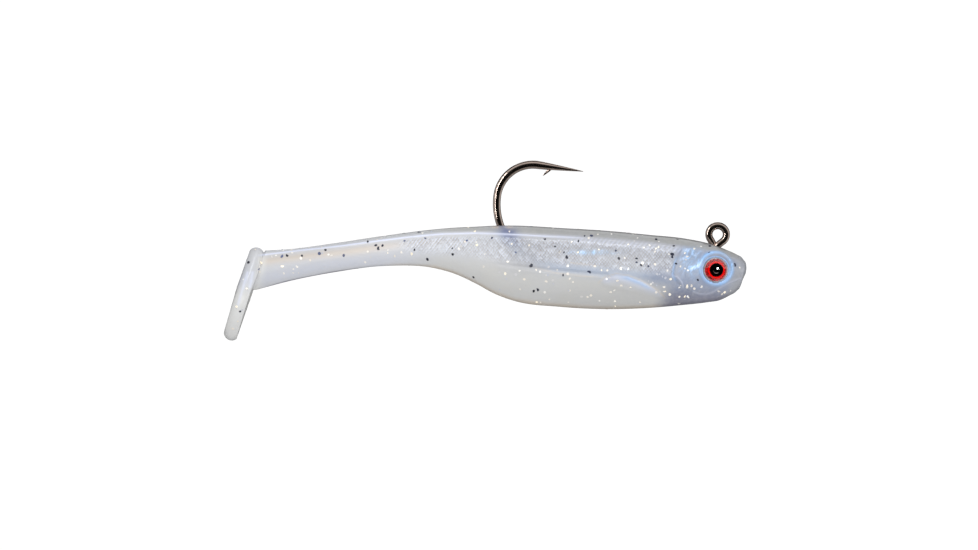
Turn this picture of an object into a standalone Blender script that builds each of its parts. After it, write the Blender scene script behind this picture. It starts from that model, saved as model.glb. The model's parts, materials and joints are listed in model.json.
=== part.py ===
"""A soft swimbait moulded over a jig head, modelled as the separate pieces it is made of.

Lengths are in millimetres until a mesh is made, where MM turns them into metres. The origin is the
centre of the line tie, the hook's eye. +X points to the nose, +Z to the back of the fish and +Y to its
left flank. The soft plastic bends sideways on two upright hinges, one in the tail and one at the paddle.
"""

import math

import bmesh
import bpy
import numpy as np
from mathutils import Matrix, Vector

MM = 0.001

# Hook wire and line tie.
WIRE_RADIUS = 0.775
TIE_RADIUS = 1.63
SHANK_SLOPE = math.radians(7.4)
SHANK_DROP = 10.32
LEG_CORNER_RADIUS = 2.2
LOWER_BEND_RADIUS = 12.22
UPPER_BEND_RADIUS = 7.0
BEND_CENTRE_ALONG = -36.5
BEND_CENTRE_UP = 1.9
POINT_LENGTH = 9.0
SPEAR_LEAN = 0.15
TAPER_START = 2.2
TIP_RADIUS = 0.06
BARB_LENGTH = 1.5
BARB_AT = 3.05

# Moulded body. Each station is the section's top point (x, z), its bottom point (x, z), its half width,
# how high on the section the widest place is, and how square its upper half is.
STATIONS = (
    ((-88.1, -3.2), (-90.1, -10.9), 1.45, 0.60, 2.2),
    ((-83.2, -2.9), (-83.6, -9.2), 1.55, 0.60, 2.2),
    ((-74.5, -1.8), (-74.5, -7.4), 1.95, 0.58, 2.3),
    ((-64.8, -0.3), (-64.8, -6.2), 2.55, 0.56, 2.5),
    ((-55.0, 0.9), (-55.0, -6.6), 3.35, 0.55, 2.7),
    ((-51.1, 1.2), (-51.1, -7.7), 3.75, 0.55, 2.8),
    ((-47.2, 1.45), (-47.2, -9.5), 4.15, 0.55, 2.8),
    ((-43.3, 1.6), (-43.3, -11.6), 4.50, 0.54, 2.8),
    ((-39.4, 1.6), (-39.4, -13.0), 4.80, 0.53, 2.8),
    ((-30.7, 1.2), (-30.7, -14.2), 5.15, 0.52, 2.8),
    ((-20.9, 0.6), (-20.9, -14.6), 5.35, 0.52, 2.7),
    ((-13.2, -0.1), (-13.2, -14.3), 5.40, 0.52, 2.6),
    ((-6.4, -0.9), (-6.8, -13.7), 5.25, 0.53, 2.4),
    ((-0.9, -2.0), (-1.9, -13.2), 4.85, 0.55, 2.2),
    ((1.6, -3.1), (0.4, -12.7), 4.50, 0.56, 2.1),
    ((3.6, -4.0), (2.2, -11.9), 4.00, 0.57, 2.1),
    ((4.9, -4.9), (3.7, -11.0), 3.35, 0.58, 2.0),
    ((5.6, -6.0), (4.5, -9.9), 2.55, 0.58, 2.0),
    ((5.6, -7.1), (4.9, -8.6), 1.50, 0.55, 2.0),
)
NOSE_TIP = (5.3, -7.8)
LOWER_ROUNDNESS = 2.1
SECTION_POINTS = 28
RING_SPACING = 2.0

# Paddle: a plate across the end of the tail, given by the middle of its top and by its slant.
PADDLE_TOP = (-90.1, -2.6)
PADDLE_SLANT = math.radians(16.0)
PADDLE_HEIGHT = 18.7
PADDLE_HALF_WIDTH = 5.6
PADDLE_HALF_THICKNESS = 1.65
PADDLE_EDGE = 1.6
WRIST_END = -89.1

# Hinges of the soft plastic: where each stands along X, its knuckle's radius and how far it bends.
TAIL_HINGE = (-57.0, 2.1, 30.0)
PADDLE_HINGE = (-85.2, 1.0, 40.0)
RELIEF_MARGIN = 3.0
TAIL_AXIS_LEVEL = -2.8
PADDLE_AXIS_LEVEL = -6.2

# Lead head, its collar, and the flash foil on its sides.
LEAD_CENTRE = (-2.4, 0.0, -7.7)
LEAD_HALF_SIZE = (6.5, 3.35, 4.55)
COLLAR_RADIUS = 1.85
COLLAR_RIB = 0.45
COLLAR_LENGTH = 6.5
FOIL_STANDOFF = 0.25
FOIL_THICKNESS = 0.16
FOIL_SPAN_ALONG = (-0.76, 0.0)
FOIL_SPAN_UP = 0.62

# Eye: iris disc, pupil disc and clear dome, stacked outwards along Y.
EYE_AT = (-0.32, -6.95)
EYE_SOCKET_RADIUS = 2.8
IRIS_RADIUS = 2.15
PUPIL_RADIUS = 1.27
LENS_RADIUS = 2.5
LEAD_SEAT = 2.7
IRIS_SPAN = (3.0, 3.2)
PUPIL_SPAN = (3.5, 3.62)
LENS_BASE = 3.92
LENS_SHOULDER = 4.4
LENS_APEX = 5.25

GAP = 0.3
FAR = 30.0


# ---------------------------------------------------------------- meshes


def material(name, colour, roughness, metallic=0.0):
    made = bpy.data.materials.new(name)
    made.use_nodes = True
    shader = made.node_tree.nodes["Principled BSDF"]
    shader.inputs["Base Color"].default_value = (*colour, 1.0)
    shader.inputs["Roughness"].default_value = roughness
    shader.inputs["Metallic"].default_value = metallic
    return made


def finish(name, shape, look, smooth=True):
    """Turns a bmesh in millimetres into a named object in metres."""
    bmesh.ops.recalc_face_normals(shape, faces=shape.faces)
    bmesh.ops.scale(shape, vec=(MM, MM, MM), verts=shape.verts)
    mesh = bpy.data.meshes.new(name)
    shape.to_mesh(mesh)
    shape.free()
    if smooth:
        mesh.shade_smooth()
        mesh.set_sharp_from_angle(angle=math.radians(40))
    solid = bpy.data.objects.new(name, mesh)
    bpy.context.scene.collection.objects.link(solid)
    if look is not None:
        mesh.materials.append(look)
    return solid


def cutter(name, shape):
    """A helper solid that only cuts or joins, so it isn't a piece of the lure."""
    tool = finish(name, shape, None, smooth=False)
    tool.hide_render = True
    tool.display_type = "WIRE"
    return tool


def combine(solid, tool, operation):
    step = solid.modifiers.new(f"{operation.lower()}_{tool.name}", "BOOLEAN")
    step.operation = operation
    step.object = tool
    step.solver = "EXACT"


def skin_rings(shape, rings, first_tip=None, last_tip=None):
    """Joins closed rings of points into a tube, closed at each end by a flat face or by a tip."""
    loops = [[shape.verts.new(point) for point in ring] for ring in rings]
    count = len(loops[0])
    for near, far in zip(loops, loops[1:]):
        for i in range(count):
            j = (i + 1) % count
            shape.faces.new((near[i], near[j], far[j], far[i]))
    for loop, tip in ((loops[0], first_tip), (loops[-1], last_tip)):
        if tip is None:
            shape.faces.new(loop)
            continue
        point = shape.verts.new(tip)
        for i in range(count):
            shape.faces.new((loop[i], loop[(i + 1) % count], point))


def prism(outline, low, high):
    """An upright block: the outline in X and Y, raised from z = low to z = high."""
    shape = bmesh.new()
    base = shape.faces.new([shape.verts.new((x, y, low)) for x, y in outline])
    raised = bmesh.ops.extrude_face_region(shape, geom=[base])
    tops = [item for item in raised["geom"] if isinstance(item, bmesh.types.BMVert)]
    bmesh.ops.translate(shape, vec=(0, 0, high - low), verts=tops)
    return shape


def arc(centre, radius, start, end, steps):
    """Points along a circle, angles in radians."""
    turns = np.linspace(start, end, steps + 1)
    return [(centre[0] + radius * math.cos(t), centre[1] + radius * math.sin(t)) for t in turns]


# ---------------------------------------------------------------- the moulded body


def station_values(at):
    """All the stations' numbers at fractional station `at`, by a smooth curve through them."""
    table = np.array([(*top, *bottom, *rest) for top, bottom, *rest in STATIONS])
    middle = (table[:, 0:2] + table[:, 2:4]) / 2
    along = np.concatenate([[0], np.cumsum(np.linalg.norm(np.diff(middle, axis=0), axis=1))])
    slope = np.gradient(table, along, axis=0)
    i = min(int(at), len(table) - 2)
    step = along[i + 1] - along[i]
    t = at - i
    return (
        table[i] * (1 + 2 * t) * (1 - t) ** 2
        + slope[i] * step * t * (1 - t) ** 2
        + table[i + 1] * t * t * (3 - 2 * t)
        + slope[i + 1] * step * t * t * (t - 1)
    )


def station_at(x):
    """The fractional station whose section stands at that x."""
    stations = np.linspace(0, len(STATIONS) - 1, 400)
    middles = [sum(station_values(s)[[0, 2]]) / 2 for s in stations]
    return float(np.interp(x, middles, stations))


def section(values, points=SECTION_POINTS):
    """A closed ring: a squarish upper half on a rounder lower half, in the plane from top to bottom."""
    x_top, z_top, x_bottom, z_bottom, half_width, widest, squareness = values
    ring = []
    for turn in np.linspace(0, 2 * math.pi, points, endpoint=False):
        up, side = math.cos(turn), math.sin(turn)
        power = 2 / (squareness if up > 0 else LOWER_ROUNDNESS)
        reach = (1 - widest) if up > 0 else widest
        height = widest + math.copysign(abs(up) ** power, up) * reach
        across = half_width * math.copysign(abs(side) ** power, side)
        ring.append(
            (
                x_bottom + (x_top - x_bottom) * height,
                across,
                z_bottom + (z_top - z_bottom) * height,
            )
        )
    return ring


def body_rings(x_from, x_to=None):
    """Sections from one x to another, or on to the last station at the nose."""
    first = station_at(x_from)
    last = len(STATIONS) - 1.0 if x_to is None else station_at(x_to)
    low, high = station_values(first), station_values(last)
    count = max(3, round((high[0] - low[0]) / RING_SPACING))
    if x_to is None:
        even = list(np.linspace(first, 12.0, 26)) + list(np.linspace(12.0, last, 13))[1:]
    else:
        even = np.linspace(first, last, count + 1)
    return [section(station_values(at)) for at in even]


def socket_outline(hinge):
    """Plan of what is cut from the piece ahead of a hinge: a round socket and two side reliefs."""
    x, knuckle, bend = hinge
    relief = math.radians(bend + RELIEF_MARGIN)
    edge = math.pi / 2 - relief
    socket = arc((x, 0), knuckle + GAP, edge, -edge, 12)
    spread = FAR * math.tan(relief)
    return [(x - FAR, -FAR), (x - FAR, FAR), (x + spread, FAR), *socket, (x + spread, -FAR)]


def knuckle_outline(hinge):
    """Plan of what is cut from the piece behind a hinge, leaving a round knuckle ahead of it."""
    x, knuckle, _ = hinge
    round_end = arc((x, 0), knuckle, math.pi / 2, -math.pi / 2, 14)
    return [(x + FAR, FAR), (x, FAR), *round_end, (x, -FAR), (x + FAR, -FAR)]


def soft_segment(name, rings, look, tip=None):
    shape = bmesh.new()
    skin_rings(shape, rings, last_tip=tip)
    return finish(name, shape, look)


def cut_socket(solid, hinge):
    tool = cutter(f"{solid.name}_socket_cut", prism(socket_outline(hinge), -FAR, FAR))
    combine(solid, tool, "DIFFERENCE")


def cut_knuckle(solid, hinge):
    tool = cutter(f"{solid.name}_knuckle_cut", prism(knuckle_outline(hinge), -FAR, FAR))
    combine(solid, tool, "DIFFERENCE")


# ---------------------------------------------------------------- the paddle


def paddle_point(along, across, ahead):
    """A place on the paddle: down along its slant, across Y, and ahead of its middle plane."""
    down = Vector((-math.sin(PADDLE_SLANT), 0, -math.cos(PADDLE_SLANT)))
    forward = Vector((math.cos(PADDLE_SLANT), 0, -math.sin(PADDLE_SLANT)))
    top = Vector((PADDLE_TOP[0], 0, PADDLE_TOP[1]))
    return top + down * along + forward * ahead + Vector((0, across, 0))


def smooth_step(share):
    share = min(max(share, 0.0), 1.0)
    return share * share * (3 - 2 * share)


def paddle_plate():
    """An egg-shaped plate with a full round edge.

    Its half width is PADDLE_HALF_WIDTH sin(t), narrowed towards the top, and its height follows cos(t).
    """
    shape = bmesh.new()
    rings = []
    for tilt in np.linspace(-math.pi / 2, math.pi / 2, 9)[1:-1]:
        inset = PADDLE_EDGE * (1 - math.cos(tilt))
        ahead = PADDLE_HALF_THICKNESS * math.sin(tilt)
        ring = []
        for turn in np.linspace(0, 2 * math.pi, SECTION_POINTS, endpoint=False):
            along = inset + (PADDLE_HEIGHT / 2 - inset) * (1 - math.cos(turn))
            fatness = 0.5 + 0.5 * smooth_step(along / (0.62 * PADDLE_HEIGHT))
            across = (PADDLE_HALF_WIDTH * fatness - inset) * math.sin(turn)
            ring.append(paddle_point(along, across, ahead))
        rings.append(ring)
    skin_rings(shape, rings)
    return shape


def make_paddle(look):
    """The paddle and the wrist that carries it, joined into one moulding."""
    rings = body_rings(WRIST_END, PADDLE_HINGE[0] + PADDLE_HINGE[1] + 0.6)
    buried = [(x - PADDLE_HALF_THICKNESS, y, z) for x, y, z in rings[0]]
    wrist = soft_segment("tail_paddle", [buried, *rings], look)
    combine(wrist, cutter("paddle_plate", paddle_plate()), "UNION")
    cut_knuckle(wrist, PADDLE_HINGE)
    return wrist


# ---------------------------------------------------------------- the hook


def hook_point(along, up):
    """A place in the hook's own frame, along its shank and up from it, turned into X and Z."""
    cosine, sine = math.cos(SHANK_SLOPE), math.sin(SHANK_SLOPE)
    return (along * cosine + up * sine, -along * sine + up * cosine)


def leg_path():
    """From the line tie down the leg, round the corner and onto the shank, in the hook's own frame."""
    corner = arc(
        (-LEG_CORNER_RADIUS, LEG_CORNER_RADIUS - SHANK_DROP),
        LEG_CORNER_RADIUS,
        0,
        -math.pi / 2,
        6,
    )
    return [(0.0, -TIE_RADIUS), *corner]


def bend_path():
    """The two quarter arcs of the bend, in the hook's own frame."""
    lower_centre = (BEND_CENTRE_ALONG - UPPER_BEND_RADIUS + LOWER_BEND_RADIUS, BEND_CENTRE_UP)
    lower = arc(lower_centre, LOWER_BEND_RADIUS, -math.pi / 2, -math.pi, 14)
    upper_centre = (BEND_CENTRE_ALONG, BEND_CENTRE_UP)
    upper = arc(upper_centre, UPPER_BEND_RADIUS, math.pi, math.pi / 2, 12)
    return lower + upper[1:]


def point_path():
    """The straight spear from the bend to the tip, and the radius at each place."""
    start = BEND_CENTRE_ALONG
    level = BEND_CENTRE_UP + UPPER_BEND_RADIUS
    shares = (0.0, 0.35, 0.7, 1.0)
    places = []
    radii = []
    for share in shares:
        radius = WIRE_RADIUS + (TIP_RADIUS - WIRE_RADIUS) * share ** 1.3
        along = start + TAPER_START + (POINT_LENGTH - TAPER_START) * share
        places.append((along, level - SPEAR_LEAN * (WIRE_RADIUS - radius)))
        radii.append(radius)
    return places, radii


def sweep(shape, path, radii, sides=12):
    """A round bar along a path in the hook's plane, with a radius at each point."""
    flat = [Vector((*hook_point(*place),)) for place in path]
    rings = []
    for i, place in enumerate(flat):
        heading = (flat[min(i + 1, len(flat) - 1)] - flat[max(i - 1, 0)]).normalized()
        aside = Vector((-heading.y, heading.x))
        ring = []
        for turn in np.linspace(0, 2 * math.pi, sides, endpoint=False):
            out = place + aside * radii[i] * math.cos(turn)
            ring.append((out.x, radii[i] * math.sin(turn), out.y))
        rings.append(ring)
    skin_rings(shape, rings)


def make_hook(look):
    """Line tie, leg, shank, bend, point and barb, joined into the one wire they are."""
    shape = bmesh.new()
    spear, spear_radii = point_path()
    path = leg_path() + bend_path() + spear
    radii = [WIRE_RADIUS] * (len(path) - len(spear)) + spear_radii
    sweep(shape, path, radii)
    hook = finish("hook", shape, look)

    tie = bmesh.new()
    turns = np.linspace(0, 2 * math.pi, 28, endpoint=False)
    loops = []
    for turn in turns:
        loop = []
        for around in np.linspace(0, 2 * math.pi, 12, endpoint=False):
            reach = TIE_RADIUS + WIRE_RADIUS * math.cos(around)
            place = (reach * math.cos(turn), WIRE_RADIUS * math.sin(around), reach * math.sin(turn))
            loop.append(tie.verts.new(place))
        loops.append(loop)
    for i, near in enumerate(loops):
        far = loops[(i + 1) % len(loops)]
        for j in range(len(near)):
            k = (j + 1) % len(near)
            tie.faces.new((near[j], near[k], far[k], far[j]))
    combine(hook, cutter("hook_line_tie", tie), "UNION")

    barb = bmesh.new()
    root = (BEND_CENTRE_ALONG + BARB_AT, BEND_CENTRE_UP + UPPER_BEND_RADIUS - 0.25)
    tip = (root[0] - 0.86 * BARB_LENGTH, root[1] - 0.8 * BARB_LENGTH)
    sweep(barb, [root, tip], [0.34, 0.05], sides=8)
    combine(hook, cutter("hook_barb", barb), "UNION")
    return hook


def hook_channel(name, path):
    """The room that the wire needs in the lead or in the soft body."""
    shape = bmesh.new()
    sweep(shape, path, [WIRE_RADIUS + GAP] * len(path))
    return cutter(name, shape)


def buried_wire():
    """The stretch of wire inside the lure, from above the head to past the hook's exit."""
    return [(0.0, 0.0), *leg_path()[1:], *bend_path()[:15]]


# ---------------------------------------------------------------- the jig head and the eyes


def ellipsoid(grow):
    shape = bmesh.new()
    size = [half + grow for half in LEAD_HALF_SIZE]
    place = Matrix.Translation(LEAD_CENTRE) @ Matrix.Diagonal((*size, 1.0))
    bmesh.ops.create_uvsphere(shape, u_segments=24, v_segments=14, radius=1.0, matrix=place)
    return shape


def collar(grow):
    """The ribbed collar that the lead throws back along the shank to hold the soft body on."""
    shape = bmesh.new()
    start = -LEAD_HALF_SIZE[0] + LEAD_CENTRE[0] + 1.5
    end = start - COLLAR_LENGTH - grow
    level = -SHANK_DROP
    rib = COLLAR_RADIUS + COLLAR_RIB + grow
    body = COLLAR_RADIUS + grow
    path = [(start, level), (end + 2.6, level), (end + 1.5, level), (end + 0.3, level), (end, level)]
    sweep(shape, path, [body, body, rib, rib * 0.8, rib * 0.7], sides=16)
    return shape


def y_disc(at, radius, inner, outer, side, segments=24):
    """A disc across Y, from y = inner to y = outer on the named side."""
    shape = bmesh.new()
    middle = side * (inner + outer) / 2
    place = Matrix.Translation((at[0], middle, at[1])) @ Matrix.Rotation(math.pi / 2, 4, "X")
    bmesh.ops.create_cone(
        shape,
        cap_ends=True,
        segments=segments,
        radius1=radius,
        radius2=radius,
        depth=outer - inner,
        matrix=place,
    )
    return shape


def make_lead(look):
    lead = finish("lead_head", ellipsoid(0.0), look)
    combine(lead, cutter("lead_collar", collar(0.0)), "UNION")
    combine(lead, hook_channel("lead_wire_channel", buried_wire()), "DIFFERENCE")
    for side, word in ((1, "left"), (-1, "right")):
        seat = y_disc(EYE_AT, EYE_SOCKET_RADIUS, LEAD_SEAT, FAR, side)
        combine(lead, cutter(f"lead_{word}_eye_seat", seat), "DIFFERENCE")
    return lead


def make_foil(side, word, look):
    """A thin foil that follows the lead's flank, with a hole for the eye."""
    shape = bmesh.new()
    half = [h + FOIL_STANDOFF for h in LEAD_HALF_SIZE]
    columns, rows = 14, 9
    grid = []
    for u in np.linspace(*FOIL_SPAN_ALONG, columns):
        line = []
        for v in np.linspace(-FOIL_SPAN_UP, FOIL_SPAN_UP, rows):
            out = side * half[1] * math.sqrt(1 - u * u - v * v)
            line.append(
                shape.verts.new((LEAD_CENTRE[0] + half[0] * u, out, LEAD_CENTRE[2] + half[2] * v))
            )
        grid.append(line)
    for near, far in zip(grid, grid[1:]):
        for i in range(rows - 1):
            corners = (near[i], far[i], far[i + 1], near[i + 1])
            shape.faces.new(corners if side < 0 else corners[::-1])
    bmesh.ops.scale(shape, vec=(MM, MM, MM), verts=shape.verts)
    mesh = bpy.data.meshes.new(f"flash_foil_{word}")
    shape.to_mesh(mesh)
    shape.free()
    mesh.shade_smooth()
    mesh.materials.append(look)
    foil = bpy.data.objects.new(f"flash_foil_{word}", mesh)
    bpy.context.scene.collection.objects.link(foil)
    wall = foil.modifiers.new("foil_thickness", "SOLIDIFY")
    wall.thickness = FOIL_THICKNESS * MM
    wall.offset = 1.0
    hole = y_disc(EYE_AT, EYE_SOCKET_RADIUS + 0.15, 0.5, FAR, side)
    combine(foil, cutter(f"foil_{word}_eye_hole", hole), "DIFFERENCE")
    return foil


def make_lens(side, word, look):
    """The eye's clear dome: a short straight wall, then a cap that rises to its apex."""
    profile = [(LENS_RADIUS, LENS_BASE), (LENS_RADIUS, LENS_SHOULDER)]
    rise = LENS_APEX - LENS_SHOULDER
    for turn in np.linspace(0, math.pi / 2, 7)[1:-1]:
        profile.append((LENS_RADIUS * math.cos(turn), LENS_SHOULDER + rise * math.sin(turn)))
    rings = []
    for radius, out in profile:
        ring = []
        for turn in np.linspace(0, 2 * math.pi, 24, endpoint=False):
            x, z = EYE_AT[0] + radius * math.cos(turn), EYE_AT[1] + radius * math.sin(turn)
            ring.append((x, side * out, z))
        rings.append(ring)
    shape = bmesh.new()
    skin_rings(shape, rings, last_tip=(EYE_AT[0], side * LENS_APEX, EYE_AT[1]))
    return finish(f"eye_lens_{word}", shape, look)


# ---------------------------------------------------------------- assembly


def hinge_empty(name, hinge, parent):
    """An empty on a hinge's axis, which carries the pieces behind it."""
    empty = bpy.data.objects.new(name, None)
    empty.empty_display_size = 2 * MM
    bpy.context.scene.collection.objects.link(empty)
    x, level = hinge
    empty.location = (x * MM, 0, level * MM)
    if parent is not None:
        empty.parent = parent
        empty.location = empty.location - parent.matrix_world.translation
    bpy.context.view_layer.update()
    return empty


def carry(solid, empty):
    solid.parent = empty
    solid.matrix_parent_inverse = empty.matrix_world.inverted()


def main():
    for old in list(bpy.data.objects):
        bpy.data.objects.remove(old)

    plastic = material("soft_plastic", (0.72, 0.74, 0.76), 0.25)
    steel = material("black_nickel", (0.09, 0.08, 0.08), 0.18, metallic=1.0)
    lead = material("lead", (0.35, 0.36, 0.40), 0.5, metallic=1.0)
    foil = material("flash_foil", (0.60, 0.75, 0.95), 0.15, metallic=1.0)
    red = material("red_iris", (0.75, 0.02, 0.02), 0.3)
    black = material("black_pupil", (0.01, 0.01, 0.01), 0.2)
    clear = material("clear_dome", (0.95, 0.97, 1.0), 0.05)

    root = hinge_empty("lure_root", (0.0, 0.0), None)
    tail_axis = hinge_empty("tail_flex_axis", (TAIL_HINGE[0], TAIL_AXIS_LEVEL), root)
    paddle_axis = hinge_empty("paddle_kick_axis", (PADDLE_HINGE[0], PADDLE_AXIS_LEVEL), tail_axis)

    carry(make_hook(steel), root)
    carry(make_lead(lead), root)

    body = soft_segment(
        "soft_body",
        body_rings(TAIL_HINGE[0] - 0.8),
        plastic,
        tip=(NOSE_TIP[0], 0, NOSE_TIP[1]),
    )
    cut_socket(body, TAIL_HINGE)
    cavity = FOIL_STANDOFF + FOIL_THICKNESS + GAP
    combine(body, cutter("body_lead_cavity", ellipsoid(cavity)), "DIFFERENCE")
    combine(body, cutter("body_collar_cavity", collar(GAP)), "DIFFERENCE")
    combine(body, hook_channel("body_wire_channel", buried_wire()), "DIFFERENCE")
    carry(body, root)

    for side, word in ((1, "left"), (-1, "right")):
        socket = y_disc(EYE_AT, EYE_SOCKET_RADIUS, LEAD_SEAT, FAR, side)
        combine(body, cutter(f"body_{word}_eye_socket", socket), "DIFFERENCE")
        carry(make_foil(side, word, foil), root)
        carry(finish(f"iris_{word}", y_disc(EYE_AT, IRIS_RADIUS, *IRIS_SPAN, side), red), root)
        carry(finish(f"pupil_{word}", y_disc(EYE_AT, PUPIL_RADIUS, *PUPIL_SPAN, side), black), root)
        carry(make_lens(side, word, clear), root)

    stem_rings = body_rings(PADDLE_HINGE[0] - 0.8, TAIL_HINGE[0] + TAIL_HINGE[1] + 0.6)
    stem = soft_segment("tail_stem", stem_rings, plastic)
    cut_socket(stem, PADDLE_HINGE)
    cut_knuckle(stem, TAIL_HINGE)
    carry(stem, tail_axis)
    carry(make_paddle(plastic), paddle_axis)


main()
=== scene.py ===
# %% [markdown]
# # A soft swimbait, finished for the camera
#
# The frame holds the lure's pieces as plain solids: a jig hook, the lead cast round it, and soft plastic
# moulded over both. This lesson puts the real surfaces on them: a pearly, glittery skin with scales, fins
# and gills, a polished hook and glassy eyes. Every length below is in millimetres until a mesh is made.

# %% Load the frame
import json
import math

import bpy
import numpy as np
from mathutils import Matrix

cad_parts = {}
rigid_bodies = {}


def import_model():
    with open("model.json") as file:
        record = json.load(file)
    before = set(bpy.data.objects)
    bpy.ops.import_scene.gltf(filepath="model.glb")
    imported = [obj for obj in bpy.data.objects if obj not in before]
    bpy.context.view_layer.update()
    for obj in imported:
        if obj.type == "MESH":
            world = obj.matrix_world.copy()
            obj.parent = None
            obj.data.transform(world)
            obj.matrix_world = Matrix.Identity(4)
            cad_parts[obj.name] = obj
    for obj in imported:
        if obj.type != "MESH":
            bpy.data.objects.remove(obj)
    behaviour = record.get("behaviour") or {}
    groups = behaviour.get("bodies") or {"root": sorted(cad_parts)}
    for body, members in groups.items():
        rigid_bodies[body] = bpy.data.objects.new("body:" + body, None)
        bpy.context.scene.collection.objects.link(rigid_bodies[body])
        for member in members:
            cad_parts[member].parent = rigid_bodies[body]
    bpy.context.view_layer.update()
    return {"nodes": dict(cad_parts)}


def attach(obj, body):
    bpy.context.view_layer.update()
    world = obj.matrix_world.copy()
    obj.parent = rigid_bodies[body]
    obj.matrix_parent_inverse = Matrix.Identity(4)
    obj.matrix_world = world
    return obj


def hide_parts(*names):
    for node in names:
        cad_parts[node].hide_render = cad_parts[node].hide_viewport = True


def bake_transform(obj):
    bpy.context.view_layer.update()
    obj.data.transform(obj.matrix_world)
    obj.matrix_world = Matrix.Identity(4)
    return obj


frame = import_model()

MM = 0.001

# %% [markdown]
# ## Numbers that several steps share
#
# The lure is drawn about its line tie, the ring at the origin. The body's outline is a short table of
# stations from the tail to the nose. Each row holds the section's top point (x, z), its bottom point
# (x, z), its half width, how high its widest place is, and how square its upper half is. A cubic through
# the rows gives every section in between, which is how a boat's hull is lofted from its frames.

# %% Stations of the body
STATIONS = np.array(
    [
        (-88.45, -3.15, -90.35, -10.95, 1.45, 0.60, 2.2),
        (-83.2, -2.85, -83.6, -9.15, 1.55, 0.60, 2.2),
        (-74.5, -1.7, -74.5, -7.35, 1.95, 0.58, 2.3),
        (-64.8, -0.25, -64.8, -6.15, 2.55, 0.56, 2.5),
        (-55.0, 1.0, -55.0, -6.6, 3.35, 0.55, 2.7),
        (-51.1, 1.32, -51.1, -7.7, 3.75, 0.55, 2.8),
        (-47.2, 1.5, -47.2, -9.5, 4.15, 0.55, 2.8),
        (-43.3, 1.7, -43.3, -11.6, 4.50, 0.54, 2.8),
        (-39.4, 1.72, -39.4, -13.0, 4.80, 0.53, 2.8),
        (-30.7, 1.25, -30.7, -14.1, 5.15, 0.52, 2.8),
        (-20.9, 0.65, -20.9, -14.55, 5.35, 0.52, 2.7),
        (-13.2, -0.1, -13.2, -14.3, 5.40, 0.52, 2.6),
        (-6.4, -0.8, -6.8, -13.75, 5.25, 0.53, 2.4),
        (-0.9, -2.0, -1.9, -13.2, 4.85, 0.55, 2.2),
        (1.6, -2.95, 0.4, -12.8, 4.50, 0.56, 2.1),
        (3.6, -3.85, 2.2, -11.95, 4.00, 0.57, 2.1),
        (4.9, -4.75, 3.7, -11.0, 3.35, 0.58, 2.0),
        (5.55, -6.0, 4.5, -9.9, 2.45, 0.58, 2.0),
        (5.55, -7.0, 4.95, -8.6, 1.40, 0.55, 2.0),
        (5.42, -7.65, 5.25, -8.0, 0.50, 0.50, 2.0),
    ]
)
LOWER_SQUARENESS = 2.1
SEAM_X = -74.5
EYE_X, EYE_Z, EYE_FLOOR = -0.50, -6.92, 4.25
HALO_X, HALO_Z = -0.42, -6.58
print("stations:", len(STATIONS))

# %% [markdown]
# ## Surfaces as arrays
#
# A skin is a grid of points: one row for each section and one column for each angle round it. numpy
# works out the whole grid at once, and a few lines join neighbouring points into faces. The angles are
# closer together on the flanks, where the scales are, than under the belly.

# %% Angles round a section
AROUND = 148
FLANK_ANGLE = 1.25
FLANK_SPREAD = 0.75
FLANK_EXTRA = 1.5


def uneven_angles(count):
    """Angles from 0 to 360 degrees, spaced by the inverse of a density of 1 plus two humps at the flanks."""
    fine = np.linspace(0, 2 * np.pi, 2001)
    flanks = (FLANK_ANGLE, 2 * np.pi - FLANK_ANGLE)
    density = 1 + FLANK_EXTRA * sum(np.exp(-(((fine - angle) / FLANK_SPREAD) ** 2)) for angle in flanks)
    share = np.concatenate([[0], np.cumsum((density[1:] + density[:-1]) / 2)])
    return np.interp(np.linspace(0, 1, count, endpoint=False), share / share[-1], fine)


ANGLES = uneven_angles(AROUND)
print("angles:", AROUND, "closest", round(math.degrees(np.diff(ANGLES).min()), 2), "degrees")

# %% Lofting through the stations


def rise(value, low, high):
    """0 below low, 1 above high, and 3t^2 - 2t^3 between them."""
    t = np.clip((value - low) / (high - low), 0, 1)
    return t * t * (3 - 2 * t)


def fall(value, low, high):
    """1 below low and 0 above high: the same curve upside down."""
    return 1 - rise(value, low, high)


def loft(at):
    """Station rows at fractional row numbers: a cubic through the rows, with slopes per unit of length."""
    middle = (STATIONS[:, 0:2] + STATIONS[:, 2:4]) / 2
    along = np.concatenate([[0], np.cumsum(np.hypot(*np.diff(middle, axis=0).T))])
    slope = np.gradient(STATIONS, along, axis=0)
    i = np.clip(at.astype(int), 0, len(STATIONS) - 2)
    t = (at - i)[:, None]
    step = (along[i + 1] - along[i])[:, None]
    return (
        STATIONS[i] * (1 + 2 * t) * (1 - t) ** 2
        + slope[i] * step * t * (1 - t) ** 2
        + STATIONS[i + 1] * t * t * (3 - 2 * t)
        + slope[i + 1] * step * t * t * (t - 1)
    )


def row_at(x):
    """The fractional row whose section stands at each x."""
    fine = np.linspace(0, len(STATIONS) - 1, 4000)
    rows = loft(fine)
    return np.interp(x, (rows[:, 0] + rows[:, 2]) / 2, fine)


def sections(rows):
    """Rings of points: a superellipse in polar form, r = (|cos|^p + |sin|^p)^(-1/p), on each station row."""
    x_top, z_top, x_low, z_low, half, widest, square = (rows[:, k, None] for k in range(7))
    up, side = np.cos(ANGLES)[None], np.sin(ANGLES)[None]
    power = np.where(up > 0, square, LOWER_SQUARENESS)
    reach = (np.abs(up) ** power + np.abs(side) ** power) ** (-1 / power)
    height = widest + reach * up * np.where(up > 0, 1 - widest, widest)
    x = x_low + (x_top - x_low) * height
    z = z_low + (z_top - z_low) * height
    return np.stack([x, half * reach * side, z], axis=-1)


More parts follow.
